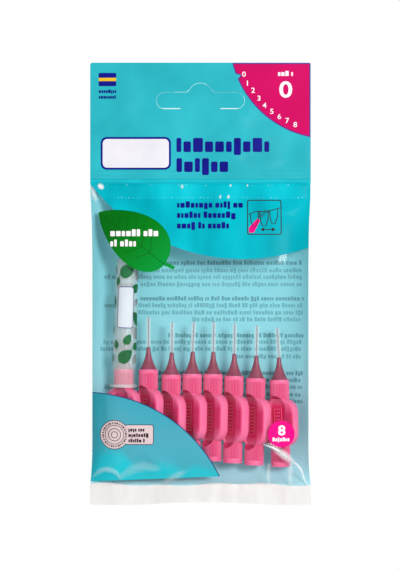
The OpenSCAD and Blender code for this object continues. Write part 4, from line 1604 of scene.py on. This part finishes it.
LEAF_TIP_POWER, LEAF_FOOT_POWER = 0.85, 0.5
LEAF_TIP, LEAF_BASE = places([(99, 212.5), (164.6, 264.6)])
LEAF_UPPER_W, LEAF_LOWER_W = 29 * PIXEL, 23 * PIXEL


def leaf_outline(tip, base, upper, lower, steps=24):
    """A leaf from its sharp tip to its rounder foot, whose sides stand out by upper and lower."""
    start, along = Vector(tip), Vector(base) - Vector(tip)
    out = Vector((-along.y, along.x)).normalized()
    shares = [(1 - math.cos(math.pi * k / steps)) / 2 for k in range(steps + 1)]
    widths = [s ** LEAF_TIP_POWER * (1 - s) ** LEAF_FOOT_POWER for s in shares]
    side = [w / max(widths) for w in widths]
    top = [tuple(start + along * s + out * w * upper) for s, w in zip(shares, side)]
    low = [tuple(start + along * s - out * w * lower) for s, w in zip(shares, side)]
    return top + low[-2:0:-1]


def leaf_veins(tip, base, upper, lower, width, count):
    """The midrib and pairs of side veins."""
    start, end = Vector(tip), Vector(base)
    along = (end - start).normalized()
    out = Vector((-along.y, along.x))
    length = (end - start).length
    lines = [[tuple(start + along * 0.06 * length), tuple(end)]]
    for k in range(count):
        foot = start + along * length * (0.3 + 0.6 * k / count)
        share = math.sin(math.pi * (0.2 + 0.6 * k / count))
        for side, reach in ((1, upper), (-1, lower)):
            lines.append([tuple(foot), tuple(foot + (out * side - along * 0.62) * 0.68 * reach * share)])
    return [ribbon(line, width) for line in lines]


leaf = (LEAF_TIP, LEAF_BASE, LEAF_UPPER_W, LEAF_LOWER_W)
lay_ink("film_leaf", ink_area([leaf_outline(*leaf)], FINE_CELL), leaf_material, "pouch", front_y, 2)
stem = places([(163.4, 263.2), (168.5, 265.2), (174.4, 268.4)])
lay_ink("film_leaf_stem", ink_area([ribbon(stem, 1.3 * MM)], FINE_CELL), leaf_material, "pouch", front_y, 2)
veins = merged([ink_area([outline], FINE_CELL) for outline in leaf_veins(*leaf, 0.22 * MM, 5)])
lay_ink("film_leaf_veins", veins, vein_ink, "pouch", front_y, 3)

leaf_rows = [(110.8, 229.6, 159.6, 236.5), (110.8, 239.8, 137.8, 246.7)]
lay_words("leaf_word_blocks", rng, leaf_rows, white_ink, "pouch", front_y, 4, 0.6)
film_rows = [(177.2, top, right, top + 6.4)
             for top, right in ((201.5, 243), (211.8, 240.5), (222.4, 231.5))]
lay_words("film_word_blocks", rng, film_rows, navy_ink, "pouch", front_y, 2, 0.6)
print("rows of blocks:", len(leaf_rows) + len(film_rows))

# %% [markdown]
# ## The how-to picture
#
# The small picture shows teeth, a brush and the way it moves. Ribbons of even width draw its lines,
# and the brush is one flat shape.

# %% How-to picture on the film
PICTURE_LINE_W = 0.26 * MM
PICTURE_HAIR_W = 0.2 * MM
picture_lines = [
    [(248.4, 214.5), (256, 211.6), (264, 211.8), (272, 210.4), (280, 208)],
    [(250.2, 213.6), (250.6, 221), (252.6, 226.6), (255.4, 226.8), (257.6, 221), (258.4, 212)],
    [(259.6, 212), (260, 220), (262.2, 226.4), (265.4, 226.4), (267.6, 220), (268.2, 211.6)],
    [(269.4, 211.4), (269.8, 218.4), (271.8, 224), (274.8, 224), (277, 217.6), (277.8, 209.4)],
    [(262.8, 229.8), (272.4, 229.8)],
]
arrow_heads = [
    [(275, 229.8), (271.6, 231.8), (271.6, 227.8)],
    [(260.2, 229.8), (263.6, 227.8), (263.6, 231.8)],
]
picture_brush = [(248.6, 233), (248.6, 228), (257.4, 218.6), (259.8, 220.8), (253.6, 233)]
frame_line = [photo_box(247, 200, 281.2, 235, 2.2), photo_box(247.8, 200.8, 280.4, 234.2, 1.6)]
outlines = [frame_line]
outlines += [[ribbon(places(line), PICTURE_LINE_W)] for line in picture_lines]
outlines += [[places(head)] for head in arrow_heads]
for k in range(5):
    px, py = 259.6 + 1.6 * k, 217.6 - 1.5 * k
    hair = places([(px - 1.3, py - 1.4), (px + 1.3, py + 1.4)])
    outlines.append([ribbon(hair, PICTURE_HAIR_W)])
parts = [ink_area(outline, FINE_CELL) for outline in outlines]
lay_ink("picture_lines", merged(parts), dark_ink, "pouch", front_y, 3)
lay_ink("picture_brush", ink_area([places(picture_brush)], FINE_CELL), badge_ink, "pouch", front_y, 2)
print("lines of the picture:", len(outlines))

# %% [markdown]
# ## Two badges
#
# The first badge is plain rings and dashes with a tag beside it: a rim, and a slightly smaller field
# in front. The second one is a plain round with the number of brushes.

# %% Two badges
BADGE = (photo_x(115), photo_z(433.8))
COUNT_BADGE = (photo_x(280.8), photo_z(433))
plates = {
    "round_badge_rim": (ring(BADGE, 14.6 * PIXEL), dark_ink, 2),
    "round_badge": (ring(BADGE, 14 * PIXEL), rose_ink, 3),
    "tag_rim": (photo_box(125, 423.6, 154, 443.6, 2.4), dark_ink, 2),
    "tag": (photo_box(125.6, 424.2, 153.4, 443, 1.9), rose_ink, 3),
}
for name, (outline, ink, layer) in plates.items():
    lay_ink(name, ink_area([outline]), ink, "pouch", front_y, layer)

dashes = [arc(BADGE, 11.6 * PIXEL, 12 * k, 12 * k + (5 if k % 3 else 8), 3) for k in range(30)]
outlines = [[ribbon(dash, 1.7 * PIXEL)] for dash in dashes]
outlines += [[ring(BADGE, outer * PIXEL), ring(BADGE, inner * PIXEL)]
             for outer, inner in ((9.6, 9.1), (6.4, 5.8), (3.4, 2.8))]
parts = [ink_area(outline) for outline in outlines]
lay_ink("round_badge_lines", merged(parts), dark_ink, "pouch", front_y, 4)
tag_rows = [(129, top, right, top + 3.6) for top, right in ((426.8, 146.5), (432.2, 151), (437.6, 146))]
lay_words("tag_word_blocks", rng, tag_rows, dark_ink, "pouch", front_y, 4)

lay_ink("count_badge", ink_area([ring(COUNT_BADGE, 13.3 * PIXEL)]), badge_ink, "pouch", front_y, 2)
lay_ink("count_number", number("8", 281.2, 429.4, 10.2, 0.03, 1.1), white_ink, "pouch", front_y, 3)
lay_words("count_word_blocks", rng, [(272, 436.4, 290.2, 440.2)], white_ink, "pouch", front_y, 3)
print("dashes round the badge:", len(dashes))

# %% [markdown]
# ## Painted highlights on pinched folds
#
# Where drawn film is pinched it throws the light back. That light is painted here: white strips
# along the long fold over the last brush, softly above the welded band, and as small sparkles at the
# zip. Bump alone would not hold such thin lines. Each is a strip laid on the film, and an attribute
# says how white each of its points is painted, so that it fades out to all sides.

# %% Painted highlights on folds of the front film
painted_fold_highlight, tree, surface = new_material("painted_highlight_film")
place = add(tree, "TexCoord", out="Object")
streak = add(tree, "TexNoise", place, named={"Scale": 1 / (1.6 * MM), "Detail": 2})
streak = add(tree, "MapRange", streak, 0.3, 0.7, named={"To Min": 0.75, "To Max": 1})
painted_whiteness = add(tree, "Attribute", attribute_name="painted_whiteness", out="Fac")
strength = add(tree, "Math", painted_whiteness, streak, operation="MULTIPLY")
painted_white = add(tree, "BsdfPrincipled", linear("#f8fdfd"),
               named={"Roughness": 0.2, "Specular IOR Level": 0.6})
through = add(tree, "BsdfTransparent", linear("#ffffff"))
tree.links.new(add(tree, "MixShader", strength, through, painted_white), surface)


def smooth_line(points, rounds=3):
    """Cuts the corners of a line a few times, so that it bends softly. Its ends stay."""
    for _ in range(rounds):
        finer = [points[0]]
        for a, b in zip(points, points[1:]):
            a, b = Vector(a), Vector(b)
            finer += [tuple(a.lerp(b, 0.25)), tuple(a.lerp(b, 0.75))]
        points = finer + [points[-1]]
    return points


def fading_strip(bm, white, line, width, strength, steps=18):
    """Adds a flat strip along a line, widest and whitest in its middle."""
    points = [Vector(p) for p in smooth_line(line)]
    last = len(points) - 1
    for vert in bmesh.ops.create_grid(bm, x_segments=8, y_segments=steps, size=1)["verts"]:
        side, share = vert.co.x, (vert.co.y + 1) / 2
        k = min(last - 1, int(share * last))
        along = (points[k + 1] - points[k]).normalized()
        fade = max(0.02, math.sin(math.pi * share))
        here = points[k].lerp(points[k + 1], share * last - k)
        here += Vector((-along.y, along.x)) * side * fade ** 0.7 * width / 2
        vert[white] = strength * (1 - side * side) ** 1.5 * fade
        vert.co = (here.x, 0, here.y)


print("nodes of the whitened film:", len(tree.nodes))

# %% Lay the painted fold highlights
# Each painted highlight: its line (photograph pixels), its greatest width (millimetres) and how white it is
# painted
FOLD_LAYER = 4.6
PAINTED_FOLD_HIGHLIGHTS = [
    ([(262, 443), (270, 445.6), (276, 448.4), (286, 455)], 0.9, 0.7),
    ([(270, 445), (281, 452), (286, 456), (295, 463)], 3.6, 0.5),
    ([(279, 450.6), (283, 453.6), (288, 457.6)], 1.6, 0.6),
    ([(284, 455.6), (292, 460.5), (297, 464), (300.5, 468.5), (303, 475), (304.8, 481), (309, 489)],
     1.1, 0.6),
    ([(160, 486), (173, 477), (186, 470)], 3.4, 0.14),
    ([(92, 477), (103, 468), (116, 470), (122, 480)], 2.6, 0.14),
    ([(118, 478), (140, 464), (162, 468)], 4.6, 0.1),
    ([(268.5, 461), (268, 474), (268.6, 487)], 2, 0.22),
    ([(290.4, 460), (289.6, 474), (290.4, 488)], 2.4, 0.22),
    ([(98, 184.8), (100.6, 186.2), (103.6, 189)], 2.4, 0.9),
    ([(181.2, 184.8), (182.2, 186), (182, 189)], 1.4, 0.4),
    ([(231.2, 184.8), (230.7, 185.2), (230, 186.8)], 1, 0.7),
    ([(228.9, 195), (228.4, 197), (227.9, 199)], 1.1, 0.7),
    ([(247.7, 184.8), (247.4, 185.2), (247, 186.8)], 0.9, 0.6),
    ([(220.6, 195), (220.2, 197), (219.8, 199)], 0.9, 0.5),
    ([(91.6, 186), (93.6, 194), (97, 202)], 2.2, 0.35),
]
bm = bmesh.new()
white = bm.verts.layers.float.new("painted_whiteness")
for line, width, strength in PAINTED_FOLD_HIGHLIGHTS:
    fading_strip(bm, white, places(line), width * MM, strength)
thicken(bm, INK_T)
lay_ink("painted_fold_highlights", bm, painted_fold_highlight, "pouch", front_y, FOLD_LAYER)
print("pinched folds:", len(PAINTED_FOLD_HIGHLIGHTS))

# %% [markdown]
# ## Text on the back film
#
# The back film is printed with paragraphs on its outer side, and they show faintly through it. Its
# inside therefore gets pale rows of blocks, and its outside dark ones at the same places.

# %% Rows of blocks on the back film
# Each paragraph's rows: the middle's height, the left and the right end, and 1 where it is bold
BACK_ROWS = [
    [(262.5, 166, 304, 1), (270, 142, 303, 0), (276.7, 104, 304, 0), (284, 140, 304, 0)],
    [(298.4, 140, 304, 1), (305.3, 104, 304, 0), (312.5, 138, 303, 0), (319.4, 192, 304, 0)],
    [(335.5, 168, 304, 1), (342, 103, 304, 0), (349, 100, 303, 0), (356.6, 236, 303, 0)],
    [(373.4, 138, 304, 1), (380.3, 150, 303, 0), (387.2, 104, 304, 0), (394.9, 146, 302, 0),
     (401.5, 230, 304, 0)],
]
ROW_H = 4.3
faint_ink = cloudy_ink("faint_teal_ink", "#6fb0bb", "#78b9c4", 10)
bold_ink = cloudy_ink("bolder_teal_ink", "#5f9ca8", "#69a6b2", 10)
outer_ink = cloudy_ink("deep_teal_ink", "#1d5a72", "#245f78", 10)


def back_inner_y(x, z, out=0.0):
    """The back film's inner face, and out metres in front of it."""
    return back_y(x, z) - FILM_T - out


rng = random.Random(34)
inner_rows = {0: bmesh.new(), 1: bmesh.new()}
outer_rows = bmesh.new()
for paragraph in BACK_ROWS:
    for middle_py, left, right, bold in paragraph:
        row = rng.random()
        for bm in (inner_rows[bold], outer_rows):
            text_row(bm, random.Random(row), left, middle_py - ROW_H / 2, right, middle_py + ROW_H / 2)
print("blocks on the back:", len(outer_rows.verts) // 8)
lay_ink("back_faint_rows", inner_rows[0], faint_ink, "pouch", back_inner_y)
lay_ink("back_bold_rows", inner_rows[1], bold_ink, "pouch", back_inner_y)
lay_ink("back_outer_rows", outer_rows, outer_ink, "pouch", lambda x, z, out: back_y(x, z, out - INK_T))

# %% [markdown]
# ## The zip
#
# Where the zip is welded to the film, the hot bar leaves two rows of small dimples that sparkle.
# They are low domes on the front film, and their pale ink is a painted highlight.

# %% Sparkling dimples of the zip
dimple_highlight_ink = cloudy_ink("welded_dimple_highlight", "#59d3de", "#9be9ee", 3, 0.12, 0.5)
DIMPLE_PITCH, DIMPLE_FLATNESS = 1.42 * MM, 0.45
# Each row: its height, its two ends, and the share of its dimples that shine
DIMPLE_ROWS = ((185.2, 96, 306, 0.35), (197.8, 110, 306, 0.94))
bm = bmesh.new()
for py, left, right, share in DIMPLE_ROWS:
    count = round((photo_x(right) - photo_x(left)) / DIMPLE_PITCH)
    for k in range(count):
        radius = rng.uniform(0.1, 0.26) * MM
        if rng.random() > share:
            continue
        x = photo_x(left) + (k + rng.uniform(-0.15, 0.15)) * DIMPLE_PITCH
        z = photo_z(py + rng.uniform(-0.4, 0.4))
        verts = bmesh.ops.create_icosphere(bm, subdivisions=1, radius=radius)["verts"]
        bmesh.ops.scale(bm, verts=verts, vec=(1, DIMPLE_FLATNESS, 1))
        bmesh.ops.translate(bm, verts=verts, vec=(x, front_y(x, z), z))
finish(bm, "zip_dimples", dimple_highlight_ink, "pouch", crease=80)
print("rows of dimples:", len(DIMPLE_ROWS))

# %% [markdown]
# ## The cap's prints
#
# The cap carries a scatter of small leaves and a plain white label. Each is drawn flat, with x along
# the cap's girth, and then wrapped round the cone.

# %% Leaves and label on the cap
CAP_LABEL_Z, CAP_LABEL_W, CAP_LABEL_H = 53.9 * MM, 6.3 * MM, 15 * MM
cap_leaf_ink = cloudy_ink("cap_green_ink", "#045a2b", "#0c6e38", 6)
# Each leaf: place along the girth, height, length, turn in degrees
CAP_LEAVES = [
    (0.4, 67.2, 6.6, 28), (-3.6, 63.4, 3.0, 80), (1.2, 42.4, 4.2, 60), (0.6, 36.4, 6.4, 40),
    (-3.4, 40.6, 3.2, 96), (4.6, 61.0, 4.4, 30), (5.2, 50.0, 5.8, 130), (5.4, 40.0, 4.0, 20),
    (9.0, 66.0, 5.0, 60), (8.8, 56.0, 3.4, 150), (9.4, 45.0, 6.0, 40), (9.2, 35.4, 4.0, 120),
    (13.0, 61.0, 5.8, 20), (12.8, 50.0, 3.6, 70), (13.2, 40.0, 5.2, 140), (-7.0, 67.6, 4.6, 30),
    (-6.6, 56.6, 5.6, 120), (-7.4, 46.0, 3.8, 50), (-6.8, 35.6, 5.0, 20), (-10.6, 61.6, 3.4, 90),
]
CAP_LEAF_SHARE, CAP_LEAF_CELL = 0.36, 0.6 * MM
CAP_LABEL_CORNER_R, CAP_LABEL_LINE_W, CAP_LABEL_CELL = 1.1 * MM, 0.25 * MM, 0.5 * MM


def wrap(bm, layer):
    """Rolls a flat slab round the cap. x runs along the girth and z is the height on the brush."""
    for vert in bm.verts:
        radius = cap_radius(vert.co.z) + layer * INK_STEP - vert.co.y
        angle = vert.co.x / CAP_MOUTH_R
        vert.co = (radius * math.sin(angle), -radius * math.cos(angle), vert.co.z)
    bmesh.ops.transform(bm, matrix=cap_frame, verts=bm.verts)
    return bm


def cap_leaf(u, h, length, turn):
    """A small flat leaf with a short stem."""
    along = Vector((math.cos(math.radians(turn)), math.sin(math.radians(turn))))
    middle = Vector((u, h)) * MM
    tip, base = middle + along * length * MM / 2, middle - along * length * MM / 2
    side = CAP_LEAF_SHARE * length * MM
    blade = leaf_outline(tuple(tip), tuple(base), side, side, 10)
    stem = ribbon([tuple(base + along * 0.4 * MM), tuple(base - along * 0.8 * MM)], 0.3 * MM)
    return [ink_area([outline], CAP_LEAF_CELL) for outline in (blade, stem)]


parts = []
for leaf in CAP_LEAVES:
    parts += cap_leaf(*leaf)
finish(wrap(merged(parts), 1), "cap_leaves", cap_leaf_ink, "cap")

for name, layer, inset, ink in (
        ("cap_label_rim", 2, 0, navy_ink), ("cap_label", 3, CAP_LABEL_LINE_W, label_ink)):
    half_w, half_h = CAP_LABEL_W / 2 - inset, CAP_LABEL_H / 2 - inset
    low, high = CAP_LABEL_Z - half_h, CAP_LABEL_Z + half_h
    outline = round_rect(-half_w, low, half_w, high, CAP_LABEL_CORNER_R - inset)
    finish(wrap(ink_area([outline], CAP_LABEL_CELL), layer), name, ink, "cap")
print("leaves on the cap:", len(CAP_LEAVES))
